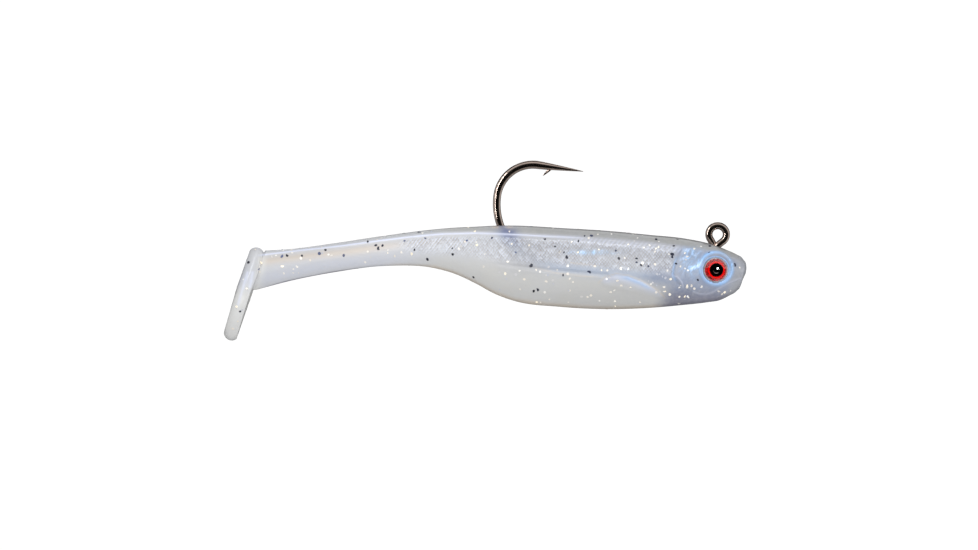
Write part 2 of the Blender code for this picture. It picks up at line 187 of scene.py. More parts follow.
def ring_normals(points):
    """Outward normals of a grid that closes round its columns, from the cross product of its two slopes."""
    along = np.gradient(points, axis=0)
    wrapped = np.concatenate([points[:, -1:], points, points[:, :1]], axis=1)
    around = (wrapped[:, 2:] - wrapped[:, :-2]) / 2
    normal = np.cross(along, around)
    return normal / np.maximum(np.linalg.norm(normal, axis=-1, keepdims=True), 1e-9)


# %% From arrays to objects


def new_object(name, points, faces, smooth=True):
    """A mesh object from points in millimetres."""
    mesh = bpy.data.meshes.new(name)
    mesh.from_pydata((np.asarray(points).reshape(-1, 3) * MM).tolist(), [], faces)
    if smooth:
        mesh.shade_smooth()
    piece = bpy.data.objects.new(name, mesh)
    bpy.context.scene.collection.objects.link(piece)
    return piece


def tube_faces(rows, columns, closed_rows=False):
    """Quads between each ring and the next."""
    last = rows if closed_rows else rows - 1
    i, j = np.meshgrid(np.arange(last), np.arange(columns), indexing="ij")
    below, above, beside = i * columns, (i + 1) % rows * columns, (j + 1) % columns
    return np.stack([below + j, below + beside, above + beside, above + j], axis=-1).reshape(-1, 4).tolist()


def volume_of(points, faces):
    """Signed volume, a sixth of the sum of a . (b x c) over triangles: positive when faces look outwards."""
    corners = [np.array([face[k] for face in faces]) for k in range(3)]
    fourth = np.array([face[-1] for face in faces])
    a, b, c, d = (points[index] for index in (*corners, fourth))
    return float((a * (np.cross(b, c) + np.cross(c, d))).sum() / 6)


def closed_tube(name, rings):
    """A tube of rings, its ends closed by fans to their middles, turned so that it faces outwards."""
    rows, columns = rings.shape[:2]
    ends = np.stack([rings[0].mean(axis=0), rings[-1].mean(axis=0)])
    points = np.concatenate([rings.reshape(-1, 3), ends])
    j = np.arange(columns)
    beside = (j + 1) % columns
    first, last = rows * columns, rows * columns + 1
    start = np.stack([beside, j, np.full(columns, first)], axis=-1).tolist()
    top = (rows - 1) * columns
    end = np.stack([top + j, top + beside, np.full(columns, last)], axis=-1).tolist()
    faces = tube_faces(rows, columns) + start + end
    if volume_of(points, faces) < 0:
        faces = [face[::-1] for face in faces]
    return new_object(name, points, faces)


def store(piece, name, values):
    """Keeps a number or a colour for each point; a tube's two end points repeat those of its rings."""
    flat = np.asarray(values, dtype=np.float32)
    colour = flat.ndim == 3
    flat = flat.reshape(-1, flat.shape[-1]) if colour else flat.reshape(-1)
    spare = len(piece.data.vertices) - len(flat)
    if spare:
        flat = np.concatenate([flat, flat[[0, -1]][:spare]])
    if colour:
        flat = np.concatenate([flat, np.ones((len(flat), 1), np.float32)], axis=1)
        kept = piece.data.attributes.new(name, "FLOAT_COLOR", "POINT")
        kept.data.foreach_set("color", flat.ravel())
    else:
        kept = piece.data.attributes.new(name, "FLOAT", "POINT")
        kept.data.foreach_set("value", flat)


# %% [markdown]
# ## What is drawn on the skin
#
# The mould is engraved: a shoulder ridge runs from the tail to the head, small scales lie below it, a
# crease parts the flank from the belly, and a fin, the gill covers, the jaw and rings round the eye stand
# proud. Each of these is a height above the smooth skin, worked out from how far a point is from a line
# or a curve in the side view. The same distances later colour the plastic.

# %% Lines in the side view


def path(*corners):
    """A chain of straight pieces through corners given as (x, z)."""
    return np.array(corners, dtype=float)


RIDGE = path(
    (-89.5, -4.1), (-80.0, -2.95), (-73.0, -2.2), (-65.1, -1.13), (-60.0, -0.5), (-53.9, 0.06), (-47.0, 0.25),
    (-42.4, 0.08), (-27.2, -0.66), (-16.3, -1.56), (-6.7, -2.6), (-1.0, -3.7), (6.0, -6.0),
)
CREASE = path((-47.0, -5.3), (-42.2, -5.9), (-32.0, -7.0), (-21.7, -7.9))
SHANK = path(
    (-1.5, -10.1), (-5.4, -8.9), (-30.7, -6.5), (-34.6, -5.6), (-38.5, -3.4), (-40.8, -0.65), (-42.3, 2.0)
)
GILL = path(
    (-7.3, -2.9), (-8.2, -4.6), (-8.7, -6.4), (-8.9, -7.8), (-8.3, -9.0), (-7.2, -9.9), (-5.4, -11.0)
)
GILL_CORNER = path((-8.7, -8.0), (-7.9, -8.3), (-7.1, -9.2), (-6.8, -10.2))
CHEEK = path((-4.4, -3.6), (-5.5, -5.4), (-6.2, -7.6), (-6.0, -9.6), (-4.6, -11.1))
JAW = path(
    (-4.8, -11.4), (-3.6, -11.9), (-2.3, -11.95), (-1.0, -11.5), (0.3, -10.7), (1.6, -10.0), (3.4, -9.2),
    (4.4, -8.9),
)
FIN_TOP = path(
    (-10.4, -12.2), (-12.4, -10.4), (-14.9, -9.0), (-17.4, -8.0), (-19.8, -7.6), (-22.0, -8.3), (-23.3, -9.4)
)
FIN_LOW = path((-10.4, -12.2), (-14.0, -11.9), (-18.0, -11.2), (-21.2, -10.3), (-23.3, -9.4))
# Lines on the paddle where painted highlights run.
PADDLE_GLEAMS = (path((-91.4, -7.4), (-92.3, -10.6), (-93.2, -13.7)), path((-90.4, -7.4), (-90.9, -10.2)))

# %% Distances in the side view


def distance_to(line, x, z):
    """The shortest distance from each point to a chain of straight pieces."""
    best = np.full(x.shape, 1e9)
    for (x0, z0), (x1, z1) in zip(line, line[1:]):
        dx, dz = x1 - x0, z1 - z0
        t = np.clip(((x - x0) * dx + (z - z0) * dz) / (dx * dx + dz * dz), 0, 1)
        best = np.minimum(best, np.hypot(x - x0 - t * dx, z - z0 - t * dz))
    return best


def above_line(line, x, z):
    """How far each point is above a line that runs along X."""
    order = np.argsort(line[:, 0])
    return z - np.interp(x, line[order, 0], line[order, 1])


def from_eye(x, z):
    """How far each point is from the eye's axis."""
    return np.hypot(x - EYE_X, z - EYE_Z)


def from_halo(x, z):
    """How far each point is from the middle of the rings moulded round the eye."""
    return np.hypot(x - HALO_X, z - HALO_Z)


def bump(distance, width):
    """A rounded rise: the bell curve exp(-(d / w)^2)."""
    return np.exp(-((distance / width) ** 2))


def spot(x, z, centre, size):
    """A soft ellipse: the bell curve of the distance from its centre, measured in its two sizes."""
    return bump(np.hypot((x - centre[0]) / size[0], (z - centre[1]) / size[1]), 1.0)


def waves(distance, pitch):
    """Crests one pitch apart: the square of a cosine."""
    return np.cos(np.pi * distance / pitch) ** 2


def on_flank(y):
    """1 on both flanks and 0 along the back and the belly."""
    return rise(np.abs(y), 0.8, 1.8)


# %% Scales and fin
SCALE_PITCH = 0.60
SCALE_LEAN = 0.80
SCALE_HEIGHT = 0.04


def scale_pattern(x, z):
    """Overlapping scales: two families of slanted waves; the rising one leads at the tail."""
    head = rise(x, -58, -46)
    rising = waves(x - SCALE_LEAN * z, SCALE_PITCH)
    falling = waves(x + SCALE_LEAN * z, SCALE_PITCH)
    return rising * (1 - 0.5 * head) + falling * 0.5 * head


def scale_zone(x, z):
    """1 where the mould has scales: below the ridge and above the buried shank, fading out at the edges."""
    below_ridge = rise(-above_line(RIDGE, x, z), 0.35, 0.9)
    floor = np.interp(x, [-62, -50, -40, -28, -8], [-3.4, -4.4, -5.6, -6.6, -8.0])
    return below_ridge * rise(z - floor, -0.6, 1.4) * rise(x, -63.0, -60.0) * fall(x, -9.8, -8.0)


def fin_zone(x, z):
    """1 on the breast fin, between its upper and lower edges."""
    below_top = rise(-above_line(FIN_TOP, x, z), -0.05, 0.35)
    above_low = rise(above_line(FIN_LOW, x, z), -0.6, 1.2)
    return below_top * above_low * rise(-x, 10.4, 11.2) * fall(-x, 22.0, 23.3)


# %% Relief of the moulding
JAW_LIP = JAW + (0.0, 0.35)
BEADS = ((GILL, -0.10, 0.22), (CHEEK, -0.07, 0.22), (JAW, -0.12, 0.20), (JAW_LIP, 0.05, 0.22))
GILL_COVER = 0.16
FIN_ROOT = (-9.0, -12.6)
FIN_HEIGHT, RAY_HEIGHT, RAYS_PER_RADIAN = 0.20, 0.03, 7.5


def relief(points):
    """Height above the skin: beads (line, height, width) are bell curves of the distance to a line."""
    x, y, z = points[..., 0], points[..., 1], points[..., 2]
    ridge = above_line(RIDGE, x, z)
    height = (0.10 * bump(ridge, 0.24) - 0.06 * bump(ridge + 0.55, 0.32)) * fall(x, -5.0, -2.0)
    height += SCALE_HEIGHT * scale_zone(x, z) * (scale_pattern(x, z) - 0.5)
    height -= 0.12 * bump(distance_to(CREASE, x, z), 0.28) * rise(x, -46, -34)
    ahead = rise(x - np.interp(-z, -GILL[:, 1], GILL[:, 0]), -0.1, 0.35)
    height += GILL_COVER * ahead * fall(distance_to(GILL, x, z), 0.2, 2.6)
    for line, lift, width in BEADS:
        height += lift * bump(distance_to(line, x, z), width)
    rays = np.cos(2 * np.pi * RAYS_PER_RADIAN * np.arctan2(z - FIN_ROOT[1], x - FIN_ROOT[0]))
    height += fin_zone(x, z) * (FIN_HEIGHT + RAY_HEIGHT * rays)
    return on_flank(y) * height + eye_rings(x, z, np.abs(y))


def eye_rings(x, z, across):
    """The socket, a flat-bottomed dish, with two soft rings moulded round it."""
    out, halo = from_eye(x, z), from_halo(x, z)
    dish = (EYE_FLOOR - 0.06 - across) * fall(out, 2.28, 2.44)
    rings = 0.10 * bump(out - 2.60, 0.12) + 0.16 * bump(halo - 3.18, 0.20) - 0.08 * bump(halo - 2.88, 0.12)
    return rise(across, 2.0, 3.0) * (dish + rings)


# %% [markdown]
# ## The front skin
#
# One closed skin covers the head, the body and the front of the tail, a single mesh with enough rings to
# curve smoothly. Rings are close together where there are scales and closer still at the nose, where the
# sections turn to face forwards.

# %% Rings of the front skin
CLEAN_END = 0.012
SCALES_START, HEAD_START, NOSE_START = -63.0, -9.0, 3.0
BEHIND_SCALES = np.concatenate([[SEAM_X, SEAM_X + CLEAN_END], np.arange(SEAM_X + 0.2, SCALES_START, 0.26)])
UNDER_SCALES = np.arange(SCALES_START, HEAD_START, 0.128)
ROUND_HEAD = np.arange(HEAD_START, NOSE_START, 0.125)
NOSE_RINGS = 43


def front_rows():
    """Row numbers for the rings from the seam to the nose, even in x and then even in row number."""
    by_x = row_at(np.concatenate([BEHIND_SCALES, UNDER_SCALES, ROUND_HEAD]))
    nose = np.linspace(by_x[-1], len(STATIONS) - 1, NOSE_RINGS + 1)[1:]
    return np.concatenate([by_x, nose])


front_smooth = sections(loft(front_rows()))
front_rings = front_smooth + ring_normals(front_smooth) * relief(front_smooth)[..., None]
skin_front = closed_tube("skin_front", front_rings)
print("skin_front:", len(skin_front.data.polygons), "faces")

# %% [markdown]
# ## The rear skin: tail and paddle
#
# Behind the seam the same sections run on to the paddle. There the rings leave the tail's outline and
# spread over the paddle's front face, turn round its rim and close in on the middle of its back, so the
# tail and the paddle are one unbroken moulding, as they are in the mould.

# %% Paddle outline
PADDLE_TOP = np.array([-89.35, -2.6])
PADDLE_SLANT = math.radians(17.5)
PADDLE_HEIGHT = 18.85
PADDLE_HALF_WIDTH = 5.6
PADDLE_HALF_THICKNESS = 1.52
RIM_ROUNDING = 1.45
RIM_TILTS = np.linspace(0.30, -0.42, 26) * np.pi
BACK_HOLLOW = 0.25
DOWN = np.array([-math.sin(PADDLE_SLANT), 0, -math.cos(PADDLE_SLANT)])
FORWARD = np.array([math.cos(PADDLE_SLANT), 0, -math.sin(PADDLE_SLANT)])


def paddle_ring(inset, ahead):
    """The egg outline, along = h (1 - cos t) and across = w f sin t, drawn in by inset and moved ahead."""
    along = inset + (PADDLE_HEIGHT / 2 - inset) * (1 - np.cos(ANGLES))
    fatness = 0.5 + 0.5 * rise(along, 0, 0.62 * PADDLE_HEIGHT)
    across = (PADDLE_HALF_WIDTH * fatness - inset) * np.sin(ANGLES)
    place = np.array([PADDLE_TOP[0], 0, PADDLE_TOP[1]]) + along[:, None] * DOWN + ahead * FORWARD
    return place + across[:, None] * np.array([0, 1, 0])


def on_front_face(ring):
    """The ring carried back along X until it lies on the plane of the paddle's front face."""
    landed = ring.copy()
    face_x = PADDLE_TOP[0] + (ring[:, 2] - PADDLE_TOP[1]) * math.tan(PADDLE_SLANT)
    landed[:, 0] = face_x + PADDLE_HALF_THICKNESS / math.cos(PADDLE_SLANT)
    return landed


def mixed_rings(start, end, shares):
    """Rings that turn from one outline into another."""
    shares = np.asarray(shares)[:, None, None]
    return start * (1 - shares) + end * shares


# %% The rear skin's rings


def rear_smooth_rings():
    """Rings from the middle of the paddle's back, round its rim, over its front and up to the seam."""
    tail_at = np.concatenate([np.arange(-88.9, SEAM_X - 0.1, 0.2), [SEAM_X - CLEAN_END, SEAM_X]])
    tail = sections(loft(row_at(tail_at)))[::-1]
    landed = on_front_face(tail[-1])
    wrist = mixed_rings(tail[-1], landed, np.linspace(0, 1, 6)[1:])
    rim = np.array([
        paddle_ring(RIM_ROUNDING * (1 - math.cos(tilt)), PADDLE_HALF_THICKNESS * math.sin(tilt))
        for tilt in RIM_TILTS
    ])
    spread = mixed_rings(landed, rim[0], 1 - np.cos(np.linspace(0, 0.5, 26)[1:-1] * np.pi))
    middle = rim[-1].mean(axis=0) - BACK_HOLLOW * FORWARD
    close = mixed_rings(rim[-1], middle[None], np.linspace(0, 0.985, 24)[1:])
    return np.concatenate([tail, wrist, spread, rim, close])[::-1]


rear_smooth = rear_smooth_rings()
rear_relief = relief(rear_smooth) * rise(rear_smooth[..., 0], -88.6, -87.6)
rear_rings = rear_smooth + ring_normals(rear_smooth) * rear_relief[..., None]
skin_rear = closed_tube("skin_rear", rear_rings)
print("skin_rear:", len(skin_rear.data.polygons), "faces")

# %% [markdown]
# ## Colouring the plastic
#
# Pearl plastic takes its colour from what is behind it: it is dusky blue over the lead head, bluer where
# the shank runs under the skin, milky and neutral over the belly, and warm where the tail is thin. Some light
# and shade are painted in as well: shade along the back and the outlines, and highlights on the ridge, the
# tail's scales, the eye's rings, the fin, gill, jaw and paddle. These are broad, soft patches, so each point
# of the skin keeps its own tint, mixed from a few named colours.

# %% Tints
MILKY = np.array([0.49, 0.49, 0.48])
PEARL = np.array([0.46, 0.47, 0.50])
LAVENDER = np.array([0.46, 0.49, 0.60])
WARM = np.array([0.53, 0.465, 0.40])
SAND = np.array([0.56, 0.47, 0.37])
ASH = np.array([0.35, 0.355, 0.385])
SLATE = np.array([0.335, 0.335, 0.325])
LEAD_BLUE = np.array([0.19, 0.235, 0.36])
DUSK = np.array([0.155, 0.145, 0.195])
STEEL_BLUE = np.array([0.26, 0.34, 0.48])
VIOLET_BLUE = np.array([0.15, 0.18, 0.33])
ICE = np.array([0.30, 0.55, 0.95])
BELLY_LINE = ([-90, -75, -60, -45, -25, -8], [-8.6, -5.4, -4.4, -5.6, -8.2, -9.0])
LIGHTEST = 0.95

# %% Patches of the belly and the tail


def body_patches(x, z):
    """Belly, shank and tail, masked from the belly line, ridge and buried shank, with painted shade and
    light.
    """
    ridge = above_line(RIDGE, x, z)
    over_belly = z - np.interp(x, *BELLY_LINE)
    over_bottom = z - np.interp(x, STATIONS[:, 2], STATIONS[:, 3])
    buried = distance_to(SHANK, x, z)
    warm = bump(ridge + 1.30, 0.80) * (1 - 0.6 * rise(x, -68, -60)) * rise(x, -89.5, -88) * fall(x, -56, -46)
    beside_shank = bump(buried - 1.15, 0.16) * rise(x, -37, -34) * fall(x, -26, -22) * (z < -5.5)
    # Painted shade along the tail's bottom outline.
    tail_outline_shade = fall(over_bottom, 0.05, 0.38) * rise(x, -89, -85) * fall(x, -74, -66)
    return [
        (PEARL, 0.80 * rise(over_belly, -1.5, 2.0)),
        (LAVENDER, 0.50 * bump(over_belly + 0.6, 1.6) * fall(x, -66, -54)),
        (WARM, 0.80 * warm),
        (ASH, 0.50 * rise(x, -44, -28) * rise(over_belly, 0.5, 4.0)),
        (STEEL_BLUE, 0.60 * bump(buried, 1.15) * fall(x, -12, -7)),
        (SAND, 0.50 * beside_shank),
        # Painted shade: a tan rim along the body's bottom outline.
        (SAND, 0.65 * fall(over_bottom, 0.05, 0.95) * rise(x, -66, -60)),
        # Painted shade: dusky along the tail's bottom outline.
        (DUSK, 0.90 * tail_outline_shade),
        # Painted light: a pale strip over the crease where the tail meets the paddle.
        (MILKY * 1.25, 0.70 * bump(x + 88.8 - 0.19 * (z + 5.7), 0.9) * fall(z, -5.0, -3.5)),
        # Painted light: the lower part of the paddle made lighter.
        (MILKY * 1.30, 0.80 * fall(x, -90.5, -89.0) * fall(z, -14.0, -7.0)),
    ]


# %% Patches of the back and the head


def back_patches(x, z):
    """The back with painted shade, darkest along its outline, and dark violet blue where the hook comes out.
    """
    under_top = np.interp(x, STATIONS[:, 0], STATIONS[:, 1]) - z
    # Painted shade along the top outline.
    outline = fall(under_top, 0.05, 0.40) * rise(x, -66, -22) * fall(x, 0.5, 2.5)
    hook_exit = spot(x + 0.55 * (z - 0.2), z, (-40.7, 0.2), (1.6, 1.9)) ** 0.7
    return [
        # Painted shade: the back above the ridge darker, and darkest along the top outline.
        (SLATE, 0.85 * rise(above_line(RIDGE, x, z), 0.30, 0.60) * rise(x, -92, -40)),
        (SLATE * 0.36, 0.75 * outline),
        (VIOLET_BLUE * 0.8, 0.98 * hook_exit),
        (SAND, 0.60 * spot(x, z, (-43.3, 1.45), (0.7, 0.35))),
        (SAND, 0.60 * spot(x, z, (-40.6, 1.45), (0.7, 0.35))),
        (ASH * 0.86, 0.80 * spot(x, z, (-37.0, -4.4), (5.0, 3.0))),
    ]


def head_patches(x, z):
    """Dusky blue over the lead, darker at the throat and behind the gill, and pale again at the nose."""
    head = rise(x - 0.25 * (z + 7.5), -11.5, -6.5)
    return [
        (LEAD_BLUE, 0.80 * head * fall(above_line(RIDGE, x, z), -0.6, 1.0)),
        (DUSK, 0.75 * head * fall(z, -13.0, -9.8)),
        (PEARL * 0.72, 0.80 * rise(x - 0.3 * (z + 7), 1.8, 4.2)),
        (LEAD_BLUE * 0.95, 0.76 * spot(x, z, (-11.2, -8.0), (3.0, 2.0))),
        (ASH * 0.85, 0.60 * spot(x, z, (-10.2, -5.2), (2.2, 2.4))),
    ]


# %% Lines and rings


def ridge_highlight_patches(x, z):
    """Painted highlights: pale dashes on the tail's scales; the ridge whole behind, dashed towards the head.
    """
    ridge = above_line(RIDGE, x, z)
    staggered_highlights = waves(x - 0.8 * z, 0.72) ** 2 * (0.35 + 0.65 * waves(ridge, 0.5))
    dashes = waves(x - 0.9 * z, 0.95) * rise(x, -32, -24) * fall(x, -8, -5)
    return [
        # Painted highlights: dashes on the tail's scales, a thin line on the ridge, dashes below it near the
        # head.
        (PEARL * 1.45, 0.75 * staggered_highlights * scale_zone(x, z) * fall(x, -53, -47)),
        (LAVENDER * 1.45, 0.75 * bump(ridge, 0.17) * rise(x, -90, -88) * fall(x, -30, -24)),
        (LAVENDER * 1.35, 0.55 * bump(ridge + 0.50, 0.65) * dashes),
    ]


def eye_patches(x, z, flank):
    """Painted icy highlights on the eye rings, brightest above and behind; painted dusky shade at the socket.
    """
    out, halo = from_eye(x, z), from_halo(x, z)
    around = np.arctan2(z - HALO_Z, x - HALO_X)
    # How strong the painted highlight is at each angle round the outer ring.
    lit_side = 0.65 + 0.35 * np.cos(2 * (around - 2.2)) * np.where(around > 0, 1, 0.5)
    return [
        (STEEL_BLUE, 0.60 * flank * bump(halo - 2.88, 0.16) * (out > 2.3)),
        # Painted highlights, icy blue, on the bead by the socket and on the outer ring.
        (ICE, flank * (0.85 * bump(out - 2.55, 0.14) + 0.95 * lit_side * bump(halo - 3.18, 0.30))),
        # Painted shade: a dusky line at the socket's edge.
        (DUSK * 0.5, 0.90 * flank * bump(out - 2.43, 0.08)),
    ]


def edge_patches(x, z, flank):
    """Painted highlights on the fin, gill, jaw and the paddle's front edges, and a tan line on the fin's top.
    """
    below_edge = above_line(FIN_TOP, x, z)
    fin = flank * fin_zone(x, z)
    fin_gleam = bump(below_edge + 0.55, 0.45) * rise(x, -20, -17) * fall(x, -15, -12)
    gill_gleam = bump(distance_to(GILL, x, z), 0.22) * rise(z, -9.5, -8.0) * fall(z, -5.5, -4.0)
    return [
        # Painted highlights, all but the sand line along the fin's top edge.
        (LAVENDER * 1.15, 0.55 * fin * bump(below_edge + 0.6, 1.3)),
        *((LAVENDER * 1.5, 0.45 * bump(distance_to(line, x, z), 0.26)) for line in PADDLE_GLEAMS),
        (ICE, 0.45 * fin * fin_gleam),
        (SAND, 0.45 * flank * bump(distance_to(FIN_TOP, x, z), 0.14)),
        (ICE, 0.55 * flank * gill_gleam),
        (LAVENDER * 1.2, 0.60 * flank * bump(distance_to(GILL_CORNER, x, z), 0.14)),
        (LAVENDER * 1.1, 0.50 * flank * bump(distance_to(JAW + (0.0, 0.3), x, z), 0.16)),
    ]


# %% All patches, one over another


def tint(points):
    """Colour at each point: every patch in turn pulls it towards its own tint, by its mask."""
    x, y, z = points[..., 0], points[..., 1], points[..., 2]
    flank = on_flank(y)
    patches = body_patches(x, z) + back_patches(x, z) + head_patches(x, z) + ridge_highlight_patches(x, z)
    colour = np.broadcast_to(MILKY, points.shape)
    for patch, mask in patches + eye_patches(x, z, flank) + edge_patches(x, z, flank):
        colour = colour + (patch - colour) * mask[..., None]
    thin = 1 + 0.09 * fall(x, -45, -18) + 0.15 * bump(x + 60, 15)
    return np.minimum(colour * thin[..., None], LIGHTEST)


def foil_and_glint_zone(points):
    """1 on the flash foil showing through behind the eye, and on painted glints on its rings and the back."""
    x, y, z = points[..., 0], points[..., 1], points[..., 2]
    halo = from_halo(x, z)
    behind_eye = 0.66 * spot(x, z, (-5.0, -5.6), (2.3, 2.1)) * rise(halo, 2.5, 3.4)
    brow = 0.50 * spot(x, z, (-5.2, -3.4), (1.8, 0.9))
    # Painted highlight: a band of glints along the back, drawn as foil.
    painted_back_glints = 0.75 * spot(x, z, (-24.6, -3.55), (3.6, 0.42))
    above = spot(x, z, (HALO_X - 2.4, HALO_Z + 2.2), (1.6, 1.6))
    ahead = spot(x, z, (HALO_X + 3.1, HALO_Z + 0.4), (1.3, 1.3))
    # Painted highlights on the eye's outer ring, above and ahead.
    rings = 0.55 * bump(halo - 3.15, 0.26) * (above + ahead)
    return np.maximum.reduce([behind_eye, brow, painted_back_glints, rings]) * rise(np.abs(y), 2.0, 3.0)


for piece, rings in ((skin_front, front_rings), (skin_rear, rear_rings)):
    store(piece, "tint", tint(rings))
    # The foil attribute holds the flash foil and the painted glints.
    store(piece, "foil", foil_and_glint_zone(rings))
    store(piece, "scales", scale_zone(rings[..., 0], rings[..., 2]) * on_flank(rings[..., 1]))
    print(piece.name, "mean tint", tint(rings).mean(axis=(0, 1)).round(2))

# %% [markdown]
# ## Shader maths as plain expressions
#
# A material is a graph of nodes. Wrapping a socket in a small class lets Python's own operators add the
# Math nodes, so a mask reads like a formula, and one method makes any other node.

# %% A socket wrapper


class Socket:
    """One output of a node, with operators that add Math nodes."""

    def __init__(self, graph, socket):
        self.graph = graph
        self.socket = socket

    def __add__(self, other):
        return self.graph.math("ADD", self, other)

    def __sub__(self, other):
        return self.graph.math("SUBTRACT", self, other)

    def __rsub__(self, other):
        return self.graph.math("SUBTRACT", other, self)

    def __mul__(self, other):
        return self.graph.math("MULTIPLY", self, other)

    def __pow__(self, other):
        return self.graph.math("POWER", self, other)

    __radd__ = __add__
    __rmul__ = __mul__


# %% A graph of nodes


def set_stops(ramp, stops):
    """Places a ramp's stops: pairs of a position and a grey value or a colour."""
    while len(ramp.elements) < len(stops):
        ramp.elements.new(0.5)
    for element, (position, value) in zip(ramp.elements, stops):
        element.position = position
        element.color = (value, value, value, 1) if isinstance(value, float) else (*value, 1)


class Graph:
    """A node tree that is filled from expressions; a colour is given as red, green and blue."""

    def __init__(self, tree):
        self.tree = tree

    def node(self, kind, settings=None, inputs=None, output=0):
        added = self.tree.nodes.new(kind)
        for key, value in (settings or {}).items():
            if key == "stops":
                set_stops(added.color_ramp, value)
            else:
                setattr(added, key, value)
        for key, value in (inputs or {}).items():
            if isinstance(value, Socket):
                self.tree.links.new(value.socket, added.inputs[key])
            elif added.inputs[key].type == "RGBA":
                added.inputs[key].default_value = (*value, 1)
            else:
                added.inputs[key].default_value = value
        return Socket(self, added.outputs[output])

    def math(self, operation, *values):
        return self.node("ShaderNodeMath", {"operation": operation}, dict(enumerate(values)))

    def vector(self, operation, first, second, output=0):
        return self.node("ShaderNodeVectorMath", {"operation": operation}, {0: first, 1: second}, output)

    def split(self, vector):
        """X, Y and Z as three sockets."""
        parts = self.node("ShaderNodeSeparateXYZ", None, {0: vector}).socket.node.outputs
        return [Socket(self, part) for part in parts]

    def place(self, output="Object"):
        return self.node("ShaderNodeTexCoord", output=output)

    def ramp(self, value, stops):
        return self.node("ShaderNodeValToRGB", {"stops": stops}, {0: value})


# %% A material


class Shader(Graph):
    """A new material, with its Principled BSDF set from constants and fed from expressions."""

    def __init__(self, name, **constants):
        self.material = bpy.data.materials.new(name)
        self.material.use_nodes = True
        super().__init__(self.material.node_tree)
        self.bsdf = self.tree.nodes["Principled BSDF"]
        self.bsdf.inputs["Emission Color"].default_value = (0, 0, 0, 1)
        self.bsdf.inputs["Emission Strength"].default_value = 1.0
        for key, value in constants.items():
            self.bsdf.inputs[key.replace("_", " ").title().replace("Ior", "IOR")].default_value = value

    def attribute(self, name, output="Fac"):
        return self.node("ShaderNodeAttribute", {"attribute_name": name}, output=output)

    def noise(self, scale, detail=2.0, roughness=0.5, at=None, output="Fac"):
        inputs = {"Vector": at or self.place(), "Scale": scale, "Detail": detail, "Roughness": roughness}
        return self.node("ShaderNodeTexNoise", None, inputs, output)

    def mix(self, share, first, second):
        return self.node("ShaderNodeMix", {"data_type": "RGBA"}, {0: share, 6: first, 7: second}, output=2)

    def bump(self, height, distance, strength=1.0, normal=None):
        inputs = {"Height": height, "Distance": distance, "Strength": strength}
        if normal is not None:
            inputs["Normal"] = normal
        return self.node("ShaderNodeBump", None, inputs)

    def feed(self, **links):
        for key, value in links.items():
            self.tree.links.new(value.socket, self.bsdf.inputs[key.replace("_", " ").title()])
        return self.material


def paint(piece, material, body):
    """Gives a piece its material and, when a body is named, its body in the frame."""
    piece.data.materials.clear()
    piece.data.materials.append(material)
    if body:
        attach(piece, body)
    return piece


# %% [markdown]
# ## Pearl plastic
#
# The real plastisol is clear, clouded with pearl powder: its colour is soft and milky, and its wet shine
# comes from a thin coat. The tint kept on each point is the base, clouded by drifting noise. Each scale
# has a painted highlight, blue, on its upper edge and painted shade, brown, below, and each has its own
# chance of being lighter or darker. The foil zone turns metallic and crumpled, and glows with painted glints.

# %% The scales' part of the material
CLOUD_BLUE = (0.50, 0.54, 0.64)
WARM_GRAIN = (0.60, 0.58, 0.54)
BROWN_GRAIN = (0.33, 0.28, 0.23)
# Painted shade and painted highlight on each scale.
SCALE_SHADE = (0.30, 0.27, 0.24)
SCALE_HIGHLIGHT = (0.62, 0.70, 0.88)
BRIGHT_SCALE = (0.85, 0.90, 1.00)
DARK_SCALE = (0.28, 0.26, 0.27)
FOIL_BLUE = (0.42, 0.68, 1.00)
# Colours of the glints painted in the foil zone, which glow as emission.
SPARKS = ((0.52, (0.0, 0.0, 0.0)), (0.60, (0.09, 0.22, 0.42)), (0.70, (0.80, 0.82, 0.95)))


def scale_parts(skin, drawn):
    """1 on the tail, the height up a scale (0 to 1 across each wave), and each scale's own number."""
    x, _, z = skin.split(drawn)
    waves_up = (x - z * SCALE_LEAN) * (1 / (SCALE_PITCH * MM)) + 0.5
    waves_down = (x + z * SCALE_LEAN) * (1 / (SCALE_PITCH * MM)) + 0.5
    whole = {0: skin.math("FLOOR", waves_up), 1: skin.math("FLOOR", waves_down)}
    number = skin.node("ShaderNodeCombineXYZ", None, whole)
    chance = skin.node("ShaderNodeTexWhiteNoise", {"noise_dimensions": "3D"}, {"Vector": number})
    tail = skin.node("ShaderNodeMapRange", None, {"Value": x, "From Min": -0.046, "From Max": -0.058})
    up, down = skin.math("FRACT", waves_up), skin.math("FRACT", waves_down)
    return tail, up * (0.5 + tail * 0.5) + (1 - down) * (1 - tail) * 0.5, chance


# %% The plastic's material


